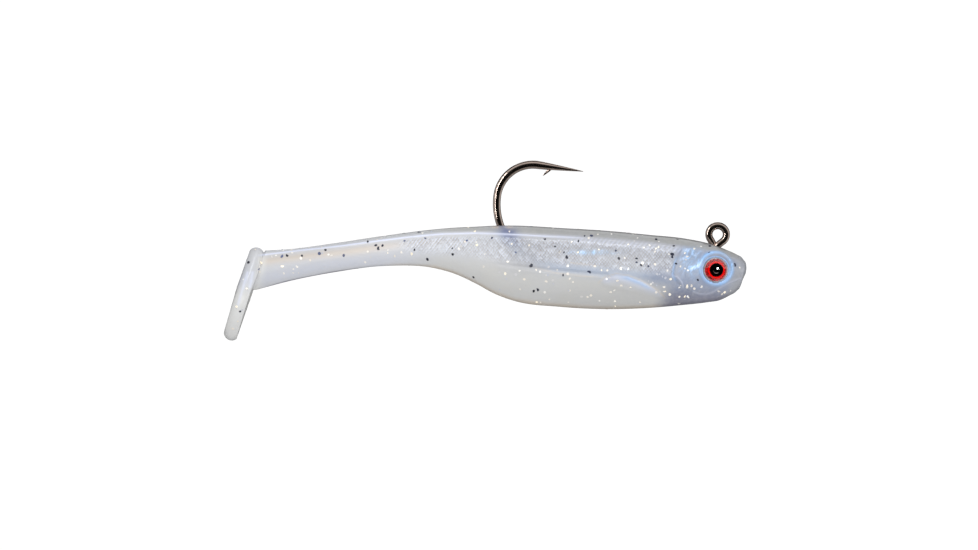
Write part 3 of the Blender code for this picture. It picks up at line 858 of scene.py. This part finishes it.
def pearl_plastic():
    skin = Shader("pearl_plastic", coat_weight=0.35, coat_roughness=0.08, ior=1.40)
    wander = {0: skin.noise(700, 1.0, output="Color"), "Scale": 0.0006}
    shift = skin.node("ShaderNodeVectorMath", {"operation": "SCALE"}, wander)
    drawn = skin.vector("ADD", skin.place(), shift)
    tail, shingle, chance = scale_parts(skin, drawn)
    scales = skin.attribute("scales") * skin.ramp(skin.noise(420, 2.0), [(0.35, 0.45), (0.62, 1.0)])
    cloud = skin.noise(160, 3.0, 0.55)
    grain = skin.noise(1400, 2.0, 0.6)
    colour = skin.attribute("tint", "Color")
    for share, shade in (
        (skin.ramp(cloud, [(0.35, 0.0), (0.70, 0.16)]), CLOUD_BLUE),
        (skin.ramp(grain, [(0.42, 0.0), (0.75, 0.16)]), WARM_GRAIN),
        (scales * skin.ramp(grain, [(0.30, 0.45), (0.48, 0.0)]), BROWN_GRAIN),
        # Painted shade low on each scale, a painted highlight on its upper edge.
        (scales * (1 - tail * 0.55) * skin.ramp(shingle, [(0.10, 0.55), (0.50, 0.0)]), SCALE_SHADE),
        (scales * skin.ramp(shingle, [(0.50, 0.0), (0.90, 0.60)]), SCALE_HIGHLIGHT),
        (scales * skin.ramp(chance, [(0.60, 0.0), (1.00, 0.32)]), BRIGHT_SCALE),
        (scales * skin.ramp(chance, [(0.00, 0.30), (0.35, 0.0)]), DARK_SCALE),
    ):
        colour = skin.mix(share, colour, shade)

    # The foil zone: flash foil behind the eye, and glints painted on the eye's rings and along the back.
    foil = skin.attribute("foil")
    along_body = {"Vector": drawn, "Rotation": (0, 0.65, 0), "Scale": (1.0, 1.0, 2.2)}
    stretched = skin.node("ShaderNodeMapping", {"vector_type": "TEXTURE"}, along_body)
    shards = skin.noise(1000, 3.0, 0.6, stretched)
    glint = skin.ramp(shards, [(0.46, 0.0), (0.60, 1.0)])
    colour = skin.mix(foil * (0.30 + 0.60 * glint), colour, FOIL_BLUE)
    # Painted glints: the foil zone glows as emission.
    gleam = skin.mix(foil, (0, 0, 0), skin.ramp(shards, SPARKS))

    uneven = skin.noise(420, 2.0, 0.5)
    pits = skin.noise(3000, 1.0, 0.5)
    fine = skin.bump(shingle * scales + chance * scales * 0.15, 0.00008, 0.8)
    wave = skin.bump(uneven, 0.00016, 0.4, fine)
    crumpled = skin.bump(shards * foil + pits * 0.03, 0.0005, 0.8, wave)
    rough = 0.34 + 0.16 * uneven - 0.12 * foil * glint
    shine = foil * glint * 0.3
    return skin.feed(
        base_color=colour, roughness=rough, metallic=shine, emission_color=gleam, normal=crumpled
    )


pearl = pearl_plastic()
paint(skin_front, pearl, None)
paint(skin_rear, pearl, None)
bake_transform(skin_front)
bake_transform(skin_rear)
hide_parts("soft_body")
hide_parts("tail_stem", "tail_paddle")
print("pearl_plastic:", len(pearl.node_tree.nodes), "nodes")

# %% [markdown]
# ## Glitter
#
# Flakes cut from foil are stirred into the plastic. Each is a tiny six-sided plate, lying nearly flat
# against the skin: dark ones near the back, gold and silver ones lower down. Each kind is a single mesh,
# because hundreds of objects would only slow things down.

# %% Choosing where flakes lie
FLAKE_RADIUS = 0.285
FLAKE_THICKNESS = 0.03
FLAKE_LIFT = 0.014
FLAKE_TILT = 0.10
random = np.random.default_rng(41)


def pick(rings, density, count):
    """Chosen grid points, drawn with a chance that follows the density times the area each point has."""
    along = np.linalg.norm(np.gradient(rings, axis=0), axis=-1)
    around = np.linalg.norm(np.roll(rings, -1, axis=1) - rings, axis=-1)
    chance = (along * around * density(rings)).ravel()
    return random.choice(len(chance), size=count, replace=False, p=chance / chance.sum())


def nearest(rings, places):
    """Grid points on the right flank, towards -Y, that lie nearest to listed flakes given as (x, z)."""
    flat = rings.reshape(-1, 3)
    right = np.flatnonzero(flat[:, 1] < -0.2)
    gap = np.hypot(flat[None, right, 0] - places[:, 0, None], flat[None, right, 2] - places[:, 1, None])
    found = gap.min(axis=1) < 0.4
    return right[gap.argmin(axis=1)][found]


def upper(rings):
    """More flakes high on the flank, none on the eye."""
    x, z = rings[..., 0], rings[..., 2]
    return rise(from_eye(x, z), 3.4, 4.0) * (0.12 + rise(above_line(RIDGE, x, z), -5.5, -1.5))


def lower(rings):
    """More flakes on the lower flank and towards the head, none on the eye."""
    x, z = rings[..., 0], rings[..., 2]
    clear_of_eye = rise(from_eye(x, z), 3.4, 4.0)
    return clear_of_eye * (0.35 + 0.8 * bump(x + 20, 22)) * (0.5 + bump(z + 8.5, 4.5))


def anywhere(rings):
    """Flakes all over, rather more of them low down."""
    return upper(rings) * 0.4 + lower(rings)


# %% Cutting the flakes


def flakes(name, rings, density, count, places, size=1.0):
    """Six-sided plates, corners at 60 degrees in the skin's plane, slightly tilted, not quite regular."""
    chosen = np.concatenate([nearest(rings, places), pick(rings, density, count)])
    count = len(chosen)
    centre = rings.reshape(-1, 3)[chosen]
    normal = ring_normals(rings).reshape(-1, 3)[chosen] + random.normal(0, FLAKE_TILT, (count, 3))
    normal /= np.linalg.norm(normal, axis=1, keepdims=True)
    across = np.cross(normal, random.normal(0, 1, (count, 3)))
    across /= np.linalg.norm(across, axis=1, keepdims=True)
    other = np.cross(normal, across)
    turn = (np.arange(6) * math.pi / 3)[None, :, None]
    radius = size * FLAKE_RADIUS * random.uniform(0.7, 1.25, (count, 1, 1))
    slim = random.uniform(0.6, 1.0, (count, 1, 1))
    corner = radius * (np.cos(turn) * across[:, None] + slim * np.sin(turn) * other[:, None])
    low = centre[:, None] + corner + normal[:, None] * (FLAKE_LIFT - FLAKE_THICKNESS)
    high = centre[:, None] + corner + normal[:, None] * FLAKE_LIFT
    base = (np.arange(count) * 12)[:, None]
    top = (base + np.arange(6, 12)).tolist()
    bottom = (base + np.arange(5, -1, -1)).tolist()
    sides = [(base + np.array([k, (k + 1) % 6, 6 + (k + 1) % 6, 6 + k])).tolist() for k in range(6)]
    faces = top + bottom + sum(sides, [])
    piece = new_object(name, np.concatenate([low, high], axis=1), faces, smooth=False)
    store(piece, "shade", np.repeat(random.uniform(0, 1, count), 12))
    return piece


# %% Glitter materials
DARK_SHADES = ((0.0, (0.008, 0.008, 0.018)), (0.7, (0.015, 0.018, 0.045)), (1.0, (0.14, 0.17, 0.30)))
BRIGHT_SHADES = ((0.0, (1.0, 0.96, 0.86)), (0.7, (1.0, 0.88, 0.66)), (1.0, (0.92, 0.95, 1.0)))
VEILED_SHADES = ((0.0, (0.82, 0.80, 0.77)), (0.6, (0.80, 0.74, 0.65)), (1.0, (0.44, 0.47, 0.56)))


def glitter(name, shades, roughness, metallic, coat, glow=0.0):
    # A glow above 0 makes a flake shine by emission in its own colour: painted glints.
    flake = Shader(name, metallic=metallic, coat_weight=coat, coat_roughness=0.08, emission_strength=glow)
    scuff = flake.noise(6000, 1.0)
    colour = flake.ramp(flake.attribute("shade"), shades)
    return flake.feed(base_color=colour, roughness=roughness + 0.1 * scuff, emission_color=colour)


dark_glitter = glitter("dark_glitter", DARK_SHADES, 0.40, 0.2, 0.3)
# The bright flakes glow a little: painted glints.
bright_glitter = glitter("bright_glitter", BRIGHT_SHADES, 0.35, 0.25, 0.6, 0.25)
veiled_glitter = glitter("veiled_glitter", VEILED_SHADES, 0.4, 0.0, 0.5)

# %% Flakes placed one by one, as (x, z)
DARK_PLACES = path(
    (-3.9, -8.9), (3.25, -5.9), (-8.2, -5.6), (-8.9, -4.5), (-8.9, -3.8), (-15.0, -6.0), (-12.0, -1.0),
    (-44.0, -0.7), (-39.35, -3.4), (-33.7, -0.95), (-31.6, -2.3), (-30.85, -3.5), (-29.95, -3.6),
    (-29.3, -4.3), (-19.9, -3.2), (-19.4, -4.7), (-15.9, -4.7), (-15.9, -5.35), (-25.1, -7.4),
    (-30.1, -7.9), (-35.1, -10.6), (-35.9, -11.1), (-36.4, -5.9), (-91.3, -5.4), (-84.8, -4.2),
    (-83.7, -4.1), (-80.8, -4.15), (-76.3, -3.0), (-72.8, -4.05), (-92.8, -15.0), (-66.4, -2.15),
    (-65.1, -2.2), (-65.9, -2.7), (-56.9, -0.7), (-61.0, -1.2), (-48.8, -1.2), (-51.5, -4.0),
)
BRIGHT_PLACES = path(
    (-14.5, -2.6), (-12.0, -2.8), (-11.5, -2.55), (-14.8, -5.6), (-4.6, -2.8), (-5.9, -7.0),
    (-9.25, -8.7), (-10.3, -11.0), (-9.4, -11.7), (-7.6, -10.3), (-6.0, -10.0), (0.15, -10.9),
    (1.3, -11.2), (-6.4, -12.1), (-5.9, -12.1), (-40.1, -1.9), (-28.5, -1.4), (-27.1, -3.4),
    (-23.2, -3.1), (-17.4, -2.0), (-29.2, -6.25), (-17.6, -6.65), (-21.6, -8.6), (-17.0, -10.2),
    (-84.6, -6.15), (-93.5, -14.0), (-64.1, -3.7), (-47.2, 0.6),
)
VEILED_PLACES = path(
    (-12.7, -9.4), (-11.9, -7.7), (-10.8, -8.3), (-9.9, -7.0), (-3.25, -10.1), (-31.4, -4.9),
    (-20.9, -11.3), (-28.8, -10.9), (-32.0, -9.5), (-32.2, -8.9), (-33.0, -8.1), (-31.3, -6.9),
    (-28.8, -8.7), (-39.4, -7.9), (-38.5, -7.0), (-37.6, -8.6), (-34.5, -13.2), (-32.8, -12.6),
    (-86.7, -4.3), (-75.6, -3.9), (-76.6, -6.25), (-82.6, -6.7), (-82.6, -7.6), (-92.2, -8.75),
    (-62.8, -4.2), (-49.2, -1.4), (-50.3, -2.8), (-45.5, -6.2),
)

# %% The glitter itself
FLAKE_KINDS = (
    ("dark", dark_glitter, upper, 36, 6, DARK_PLACES, 1.25),
    ("bright", bright_glitter, lower, 28, 6, BRIGHT_PLACES, 1.0),
    ("veiled", veiled_glitter, anywhere, 190, 80, VEILED_PLACES, 0.95),
)
for word, material, density, on_front, on_rear, places, size in FLAKE_KINDS:
    ahead, behind = places[places[:, 0] > SEAM_X], places[places[:, 0] < SEAM_X]
    front = flakes(f"glitter_{word}_front", front_rings, density, on_front, ahead, size)
    paint(front, material, None)
    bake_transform(front)
    rear = flakes(f"glitter_{word}_rear", rear_rings, density, on_rear, behind, size)
    paint(rear, material, None)
    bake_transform(rear)
    print("glitter", word, len(front.data.vertices) // 12, "+", len(rear.data.vertices) // 12)

# %% [markdown]
# ## The hook
#
# A jig hook is one length of wire, bent round a peg to make the line tie, bent again for the leg and the
# shank, and then into the bend and the point. The barb is a sliver cut up from the wire. A round profile
# is carried along the wire's middle line, with a radius that shrinks towards the point.

# %% The wire's middle line
TIE_WIRE, BEND_WIRE, TIP_WIRE = 0.70, 0.80, 0.05
TIE_RADIUS = 1.70
TIE_START, TIE_END = 228, -52
FREE_END = path((-0.30, -2.35), (-0.58, -2.02), (-0.88, -1.68))
NECK = path((0.62, -1.78), (0.26, -2.24), (0.06, -2.85), (0.0, -3.6))
SHANK_SLOPE = math.radians(7.4)
SHANK_DROP = 10.32
LEG_CORNER = 2.2
LOWER_BEND, UPPER_BEND = 12.22, 7.0
BEND_ALONG, BEND_UP = -36.5, 1.9
SPEAR_LENGTH = 9.0


def arc(centre, radius, start, end, count):
    """Points on a circle, with angles in degrees."""
    turn = np.radians(np.linspace(start, end, count))
    return np.stack([centre[0] + radius * np.cos(turn), centre[1] + radius * np.sin(turn)], axis=1)


def turned(points):
    """From the hook's own frame, whose shank is level, to X and Z."""
    cosine, sine = math.cos(SHANK_SLOPE), math.sin(SHANK_SLOPE)
    x, z = points[:, 0], points[:, 1]
    return np.stack([x * cosine + z * sine, -x * sine + z * cosine], axis=1)


def hook_line():
    """Ring, leg, shank, bend and spear, and the wire's radius at each point."""
    ring = arc((0, 0), TIE_RADIUS, TIE_START, TIE_END, 240)
    corner = arc((-LEG_CORNER, LEG_CORNER - SHANK_DROP), LEG_CORNER, 0, -90, 12)
    lower_centre = (BEND_ALONG - UPPER_BEND + LOWER_BEND, BEND_UP)
    shank = np.linspace(corner[-1], (lower_centre[0], BEND_UP - LOWER_BEND), 12)[1:-1]
    lower_arc = arc(lower_centre, LOWER_BEND, -90, -180, 200)
    upper_arc = arc((BEND_ALONG, BEND_UP), UPPER_BEND, 180, 90, 160)[1:]
    share = np.linspace(0, 1, 26)[1:]
    tapered = BEND_WIRE + (TIP_WIRE - BEND_WIRE) * share**1.25
    spear_up = BEND_UP + UPPER_BEND - 0.15 * (BEND_WIRE - tapered)
    spear = np.stack([BEND_ALONG + SPEAR_LENGTH * share, spear_up], axis=1)
    line = np.concatenate([FREE_END, ring, NECK, corner, shank, lower_arc, upper_arc, spear])
    thin = len(FREE_END) + len(ring) + len(NECK)
    thick = len(line) - len(spear) - thin
    swelling = TIE_WIRE + (BEND_WIRE - TIE_WIRE) * rise(np.arange(thick), 0, thick - 1)
    return turned(line), np.concatenate([np.full(thin, TIE_WIRE), swelling, tapered])


def resampled(line, radii, count):
    """The same line with its points evenly spaced, so that the tube has no pinched rings."""
    length = np.concatenate([[0], np.cumsum(np.hypot(*np.diff(line, axis=0).T))])
    at = np.linspace(0, length[-1], count)
    even = np.stack([np.interp(at, length, line[:, 0]), np.interp(at, length, line[:, 1])], axis=1)
    return even, np.interp(at, length, radii)


# %% The wire
WIRE_RINGS = 440
FREE_END_ASIDE = 0.42


def swept(line, radii, sides=28, offset=None):
    """Rings of radius r round a line in the XZ plane: middle + r (aside cos t + Y sin t)."""
    heading = np.gradient(line, axis=0)
    heading /= np.linalg.norm(heading, axis=1, keepdims=True)
    level = np.zeros(len(line))
    aside = np.stack([-heading[:, 1], level, heading[:, 0]], axis=1)
    middle = np.stack([line[:, 0], level if offset is None else offset, line[:, 1]], axis=1)
    turn = np.linspace(0, 2 * np.pi, sides, endpoint=False)[None, :, None]
    out = np.cos(turn) * aside[:, None] + np.sin(turn) * np.array([0, 1, 0])
    return middle[:, None] + out * radii[:, None, None]


wire_line, wire_radii = resampled(*hook_line(), WIRE_RINGS)
free_end_aside = FREE_END_ASIDE * fall(np.arange(WIRE_RINGS), 0, 14)
hook_wire = closed_tube("hook_wire", swept(wire_line, wire_radii, offset=free_end_aside)[::-1])
print("hook_wire:", len(hook_wire.data.polygons), "faces")

# %% The barb
BARB_ROOT = np.array([-33.75, 8.62])
BARB_TIP = np.array([-35.22, 6.95])
barb_share = np.linspace(0, 1, 12)
barb_line = turned(BARB_ROOT + (BARB_TIP - BARB_ROOT) * barb_share[:, None])
barb = closed_tube("hook_barb", swept(barb_line, 0.30 * (1 - barb_share) ** 0.5 + 0.02, 16)[::-1])
print("barb:", len(barb.data.polygons), "faces")

# %% Black nickel
NICKEL_DARK = (0.46, 0.37, 0.32)
NICKEL_LIGHT = (0.64, 0.51, 0.44)


def black_nickel():
    nickel = Shader("black_nickel", metallic=1.0, coat_weight=0.2, coat_roughness=0.03)
    drift = nickel.noise(260, 3.0, 0.6)
    streak = nickel.noise(1300, 2.0, 0.6)
    colour = nickel.mix(nickel.ramp(drift, [(0.35, 0.0), (0.7, 1.0)]), NICKEL_DARK, NICKEL_LIGHT)
    drawn = nickel.bump(streak, 0.000004, 0.05)
    return nickel.feed(base_color=colour, roughness=0.07 + 0.03 * streak, normal=drawn)


nickel = black_nickel()
paint(hook_wire, nickel, "base")
paint(barb, nickel, "base")
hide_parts("hook")

# %% [markdown]
# ## The eyes
#
# A 3-D eye is a printed disc under a drop of clear resin. The disc is red glitter round a brighter red
# ring and a black pupil, and a thin silver rim holds it. Each layer is a turned shape: a profile of radius
# and height, carried round the eye's axis, with the left eye made by mirroring the heights across Y.

# %% Turned layers
PUPIL_AHEAD = 0.14
PUPIL_CENTRE = (EYE_X + PUPIL_AHEAD, EYE_Z)
DISC_RADIUS, PUPIL_RADIUS, DOME_RADIUS, RIM_RADIUS = 2.09, 1.29, 2.16, 2.28


def turned_layer(name, profile, side, ahead=0.0, sides=96):
    """A profile of (radius, height) pairs carried round the eye's axis and closed at both poles."""
    profile = np.asarray(profile)
    turn = np.linspace(0, 2 * np.pi, sides, endpoint=False) * -side
    ring = np.stack([np.cos(turn), np.zeros(sides), np.sin(turn)], axis=1)
    centre = np.array([EYE_X + ahead, side * EYE_FLOOR, EYE_Z])
    lift = np.array([0, side, 0])
    return closed_tube(name, centre + profile[:, 0, None, None] * ring + profile[:, 1, None, None] * lift)


def dome(radius, low, high, count=30):
    """A lens: an edge at `low` and a cap that rises to `high` as the square root of 1 - (r / R)^2."""
    turn = np.linspace(0, np.pi / 2, count)[:-1]
    cap = np.stack([radius * np.cos(turn), low + (high - low) * np.sin(turn)], axis=1)
    edge = [(radius * 0.4, low - 0.02), (radius * 0.98, low - 0.02)]
    return np.concatenate([edge, cap, [(radius * 0.02, high)]])


def plate(radius, low, high, edge=0.05):
    """A flat disc with a small round edge."""
    outside = [(radius * 0.3, low), (radius, low), (radius, high - edge)]
    return outside + [(radius - edge, high), (radius * 0.5, high), (radius * 0.02, high)]


def bead(radius):
    """A ring round the disc, D-shaped in section."""
    turn = np.linspace(-0.5, 1.0, 12) * np.pi
    return np.stack([radius + 0.13 * np.cos(turn), 0.10 + 0.12 * np.sin(turn)], axis=1)


# %% Iris and pupil materials
HOT_RED = (1.0, 0.002, 0.001)
RED_GLITTER = (
    (0.0, (0.10, 0.001, 0.002)), (0.35, (0.42, 0.003, 0.004)), (0.70, (0.95, 0.008, 0.006)),
    (0.86, (1.0, 0.03, 0.02)), (0.94, (1.0, 0.40, 0.30)),
)


def red_iris():
    """Red glitter, its flakes the cells of a Voronoi pattern, with a plain bright ring round the pupil."""
    iris = Shader("red_iris", specular_ior_level=0.15, emission_strength=1.1)
    place = iris.place()
    flat = iris.vector("MULTIPLY", place, (1.0, 0.0, 1.0))
    out = iris.vector("DISTANCE", flat, (PUPIL_CENTRE[0] * MM, 0, PUPIL_CENTRE[1] * MM), "Value")
    cells = iris.node("ShaderNodeTexVoronoi", None, {"Vector": place, "Scale": 3000.0}, "Color")
    grey = iris.node("ShaderNodeRGBToBW", None, {0: cells})
    specks = iris.ramp(grey, RED_GLITTER)
    ring = iris.ramp(out * 400, [(0.0, 1.0), (0.60, 1.0), (0.67, 0.0)])
    colour = iris.mix(ring, specks, HOT_RED)
    # Painted light: the ring, and dimmer the glitter, glow as emission in their own red.
    lit = iris.mix(ring, iris.mix(0.55, specks, (0, 0, 0)), HOT_RED)
    raised = iris.bump(grey, 0.00003, 0.5)
    return iris.feed(base_color=colour, roughness=0.25 + 0.3 * grey, emission_color=lit, normal=raised)


def black_pupil():
    """Gloss black, faint brown mottling and a pale crescent: the resin's far wall, a painted reflection that
    glows.
    """
    pupil = Shader("black_pupil", coat_weight=0.2, coat_roughness=0.03)
    mottle = pupil.noise(2500, 2.0)
    x, _, z = pupil.split(pupil.place())
    across, up = x * 1000 - PUPIL_CENTRE[0], z * 1000 - PUPIL_CENTRE[1]
    out = (across**2 + up**2) ** 0.5
    low_side = pupil.ramp(0.5 - up * 0.4 - across * 0.15, [(0.60, 0.0), (0.75, 1.0)])
    # Painted reflection: a pale crescent on the lower side of the pupil.
    crescent = pupil.ramp(out, [(0.48, 0.0), (0.60, 1.0), (0.72, 0.0)]) * low_side
    streaky = crescent * pupil.ramp(mottle, [(0.35, 0.0), (0.6, 0.8)])
    brown = pupil.ramp(mottle, [(0.5, 0.0), (0.8, 1.0)])
    colour = pupil.mix(brown, (0.003, 0.003, 0.004), (0.02, 0.010, 0.009))
    colour = pupil.mix(streaky, colour, (0.8, 0.55, 0.5))
    # The crescent also glows, as emission: painted light.
    glow = pupil.mix(streaky, (0, 0, 0), (0.50, 0.34, 0.32))
    return pupil.feed(base_color=colour, roughness=0.2 + 0.2 * mottle, emission_color=glow)


# %% Rim and dome materials


def silver_rim():
    rim = Shader("silver_rim", metallic=0.4, coat_weight=0.5, coat_roughness=0.1)
    worn = rim.noise(1500, 3.0, 0.6)
    colour = rim.mix(rim.ramp(worn, [(0.4, 0.0), (0.65, 1.0)]), (0.88, 0.88, 0.92), (0.50, 0.50, 0.55))
    return rim.feed(base_color=colour, roughness=0.2 + 0.2 * worn)


def clear_dome():
    clear = Shader("clear_dome", transmission_weight=1.0, ior=1.45, coat_weight=1.0, coat_ior=1.9,
                   coat_roughness=0.0)
    smear = clear.noise(900, 2.0)
    return clear.feed(roughness=0.01 * smear, normal=clear.bump(smear, 0.000001, 0.05))


# %% Both eyes
EYE_LAYERS = {
    "rim": (bead(RIM_RADIUS), silver_rim(), "flash_foil"),
    "iris": (plate(DISC_RADIUS, 0.0, 0.16), red_iris(), "red_iris"),
    "pupil": (plate(PUPIL_RADIUS, 0.17, 0.25), black_pupil(), "black_pupil"),
    "dome": (dome(DOME_RADIUS, 0.27, 0.90), clear_dome(), "clear_dome"),
}
for side, word in ((1, "left"), (-1, "right")):
    for part, (profile, material, slot) in EYE_LAYERS.items():
        layer = turned_layer(f"eye_{part}_{word}", profile, side, PUPIL_AHEAD if part == "pupil" else 0.0)
        paint(layer, material, "base")
        if part == "dome":
            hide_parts(f"eye_lens_{word}")
        elif part in ("iris", "pupil"):
            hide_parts(f"{part}_{word}")
print("eye layers:", 2 * len(EYE_LAYERS))

# %% [markdown]
# ## Hidden pieces
#
# The lead head and the flash foils stay where the frame has them, inside the skin. They still get their
# own finishes, because the model may be opened up.

# %% Lead and foil


def cast_lead():
    lead = Shader("cast_lead", metallic=0.9)
    blotch = lead.noise(500, 4.0, 0.6)
    colour = lead.ramp(blotch, [(0.3, (0.20, 0.21, 0.24)), (0.7, (0.40, 0.41, 0.45))])
    cast = lead.bump(blotch, 0.0001, 0.5)
    return lead.feed(base_color=colour, roughness=0.4 + 0.25 * blotch, normal=cast)


def flash_foil():
    foil = Shader("flash_foil", metallic=1.0)
    crinkle = foil.noise(900, 3.0, 0.7)
    colour = foil.ramp(crinkle, [(0.3, (0.45, 0.62, 0.95)), (0.7, (0.85, 0.92, 1.0))])
    folds = foil.bump(crinkle, 0.0003, 0.8)
    return foil.feed(base_color=colour, roughness=0.12 + 0.2 * crinkle, normal=folds)


def recolour(node, material):
    """Puts a new material on a piece of the frame."""
    for slot in frame["nodes"][node].material_slots:
        slot.material = material


recolour("lead_head", cast_lead())
crinkled = flash_foil()
for word in ("left", "right"):
    recolour(f"flash_foil_{word}", crinkled)
print("recoloured: lead_head and two foils")

# %% [markdown]
# ## Floor, light and camera
#
# The lure hangs by its line tie, clear of a pale floor. A broad soft box in front lights the plastic, and
# smaller ones above, to the right and behind shape it. A narrow strip on the left draws one bright line
# down the wire, and a round lamp puts the glint in each dome. Polished things mirror a studio that is
# bright at the sides and dark in front and behind, which gives the wire its black core and bright edges.

# %% Floor
FLOOR_LEVEL = -82.0
FLOOR_RADIUS = 520.0
FLOOR_MIDDLE = -45.0
FLOOR_CORNERS = 96
floor_turn = np.linspace(0, 2 * np.pi, FLOOR_CORNERS, endpoint=False)
floor_x = FLOOR_RADIUS * np.cos(floor_turn) + FLOOR_MIDDLE
floor_y = FLOOR_RADIUS * np.sin(floor_turn)
floor_rim = np.stack([floor_x, floor_y, np.full(FLOOR_CORNERS, FLOOR_LEVEL)], axis=1)
floor = new_object("floor", floor_rim, [list(range(FLOOR_CORNERS))], smooth=False)
pale = Shader("pale_floor", roughness=0.8)
faint = pale.mix(pale.noise(6, 2.0), (0.93, 0.93, 0.93), (0.95, 0.95, 0.95))
floor.data.materials.append(pale.feed(base_color=faint))
floor.visible_glossy = False
print("floor level:", FLOOR_LEVEL)

# %% World
SOFT_LIGHT = ((0.0, 0.65), (0.5, 0.25), (1.0, 0.90))
MIRRORED = (
    (0.0, 0.02), (0.20, 0.06), (0.34, 0.90), (0.54, 0.70), (0.68, 0.30), (0.78, 0.012), (1.0, 0.004),
)
SOFT_STRENGTH, WHITE_STRENGTH = 1.42, 1.05
world = bpy.data.worlds.new("studio")
world.use_nodes = True
bpy.context.scene.world = world
world.node_tree.nodes.clear()
sky = Graph(world.node_tree)
_, y, z = sky.split(sky.place("Generated"))
to_front = sky.node("ShaderNodeMapRange", None, {"Value": y, "From Min": 1.0, "From Max": -1.0})
above = sky.node("ShaderNodeMapRange", None, {"Value": z, "To Max": 0.32})
soft, mirrored = sky.ramp(to_front, SOFT_LIGHT), sky.ramp(to_front - above, MIRRORED)
studio = sky.node("ShaderNodeBackground", None, {"Color": soft, "Strength": SOFT_STRENGTH})
reflected = sky.node("ShaderNodeBackground", None, {"Color": mirrored})
white = sky.node("ShaderNodeBackground", None, {"Color": (1, 1, 1), "Strength": WHITE_STRENGTH})
glossy = sky.node("ShaderNodeLightPath", output="Is Glossy Ray")
seen = sky.node("ShaderNodeLightPath", output="Is Camera Ray")
bounced = sky.node("ShaderNodeMixShader", None, {0: glossy, 1: studio, 2: reflected})
chosen = sky.node("ShaderNodeMixShader", None, {0: seen, 1: bounced, 2: white})
world_output = world.node_tree.nodes.new("ShaderNodeOutputWorld")
world.node_tree.links.new(chosen.socket, world_output.inputs["Surface"])
print("world nodes:", len(world.node_tree.nodes))

# %% Lamps
MIDDLE = np.array([-45.0, 0.0, -5.0])


def lamp(name, azimuth, elevation, distance, size, power, colour=(1, 1, 1), lit=(), shape="RECTANGLE"):
    """A soft box that looks at the lure's middle and lights the pieces given; azimuth 0 is towards -Y."""
    across, up = math.radians(azimuth), math.radians(elevation)
    towards = np.array([math.sin(across) * math.cos(up), -math.cos(across) * math.cos(up), math.sin(up)])
    light = bpy.data.lights.new(name, "AREA")
    light.shape = shape
    light.size, light.size_y = size[0] * MM, size[1] * MM
    light.energy = power
    light.color = colour
    box = bpy.data.objects.new(name, light)
    bpy.context.scene.collection.objects.link(box)
    box.location = (MIDDLE + towards * distance) * MM
    box.rotation_euler = (math.pi / 2 - up, 0, across)
    if lit:
        receivers = bpy.data.collections.new(f"lit_by_{name}")
        for piece in lit:
            receivers.objects.link(piece)
        box.light_linking.receiver_collection = receivers


everything = bpy.context.scene.objects
plastic = [piece for piece in everything if piece.name.startswith(("skin_", "glitter_"))]
domes = [piece for piece in everything if piece.name.startswith("eye_dome")]
lamp("glint", 11.5, 4.3, 700, (84, 84), 0.30, lit=domes, shape="ELLIPSE")
lamp("front", 5, 3, 800, (600, 400), 2.1, lit=plastic)
lamp("overhead", 10, 55, 500, (160, 60), 0.34, (0.90, 0.94, 1.0), lit=plastic)
lamp("strip_left", -46, 15, 600, (34, 520), 1.15, lit=[hook_wire, barb])
lamp("right", 72, 5, 700, (300, 300), 0.45, lit=plastic)
lamp("back", 180, 45, 700, (500, 300), 0.50)
print("lamps light", len(plastic), "pieces of plastic and", len(domes), "domes")

# %% Camera
VIEW_WIDTH = 190.35
VIEW_CENTRE = (-44.5, -7.9)
LENS = 300.0
SENSOR = 36.0
camera_data = bpy.data.cameras.new("camera")
camera_data.lens = LENS
camera_data.sensor_width = SENSOR
camera_data.clip_end = 20.0
camera = bpy.data.objects.new("camera", camera_data)
bpy.context.scene.collection.objects.link(camera)
camera.location = (VIEW_CENTRE[0] * MM, -VIEW_WIDTH * LENS / SENSOR * MM, VIEW_CENTRE[1] * MM)
camera.rotation_euler = (math.pi / 2, 0, 0)
bpy.context.scene.camera = camera
bpy.context.scene.view_settings.view_transform = "Standard"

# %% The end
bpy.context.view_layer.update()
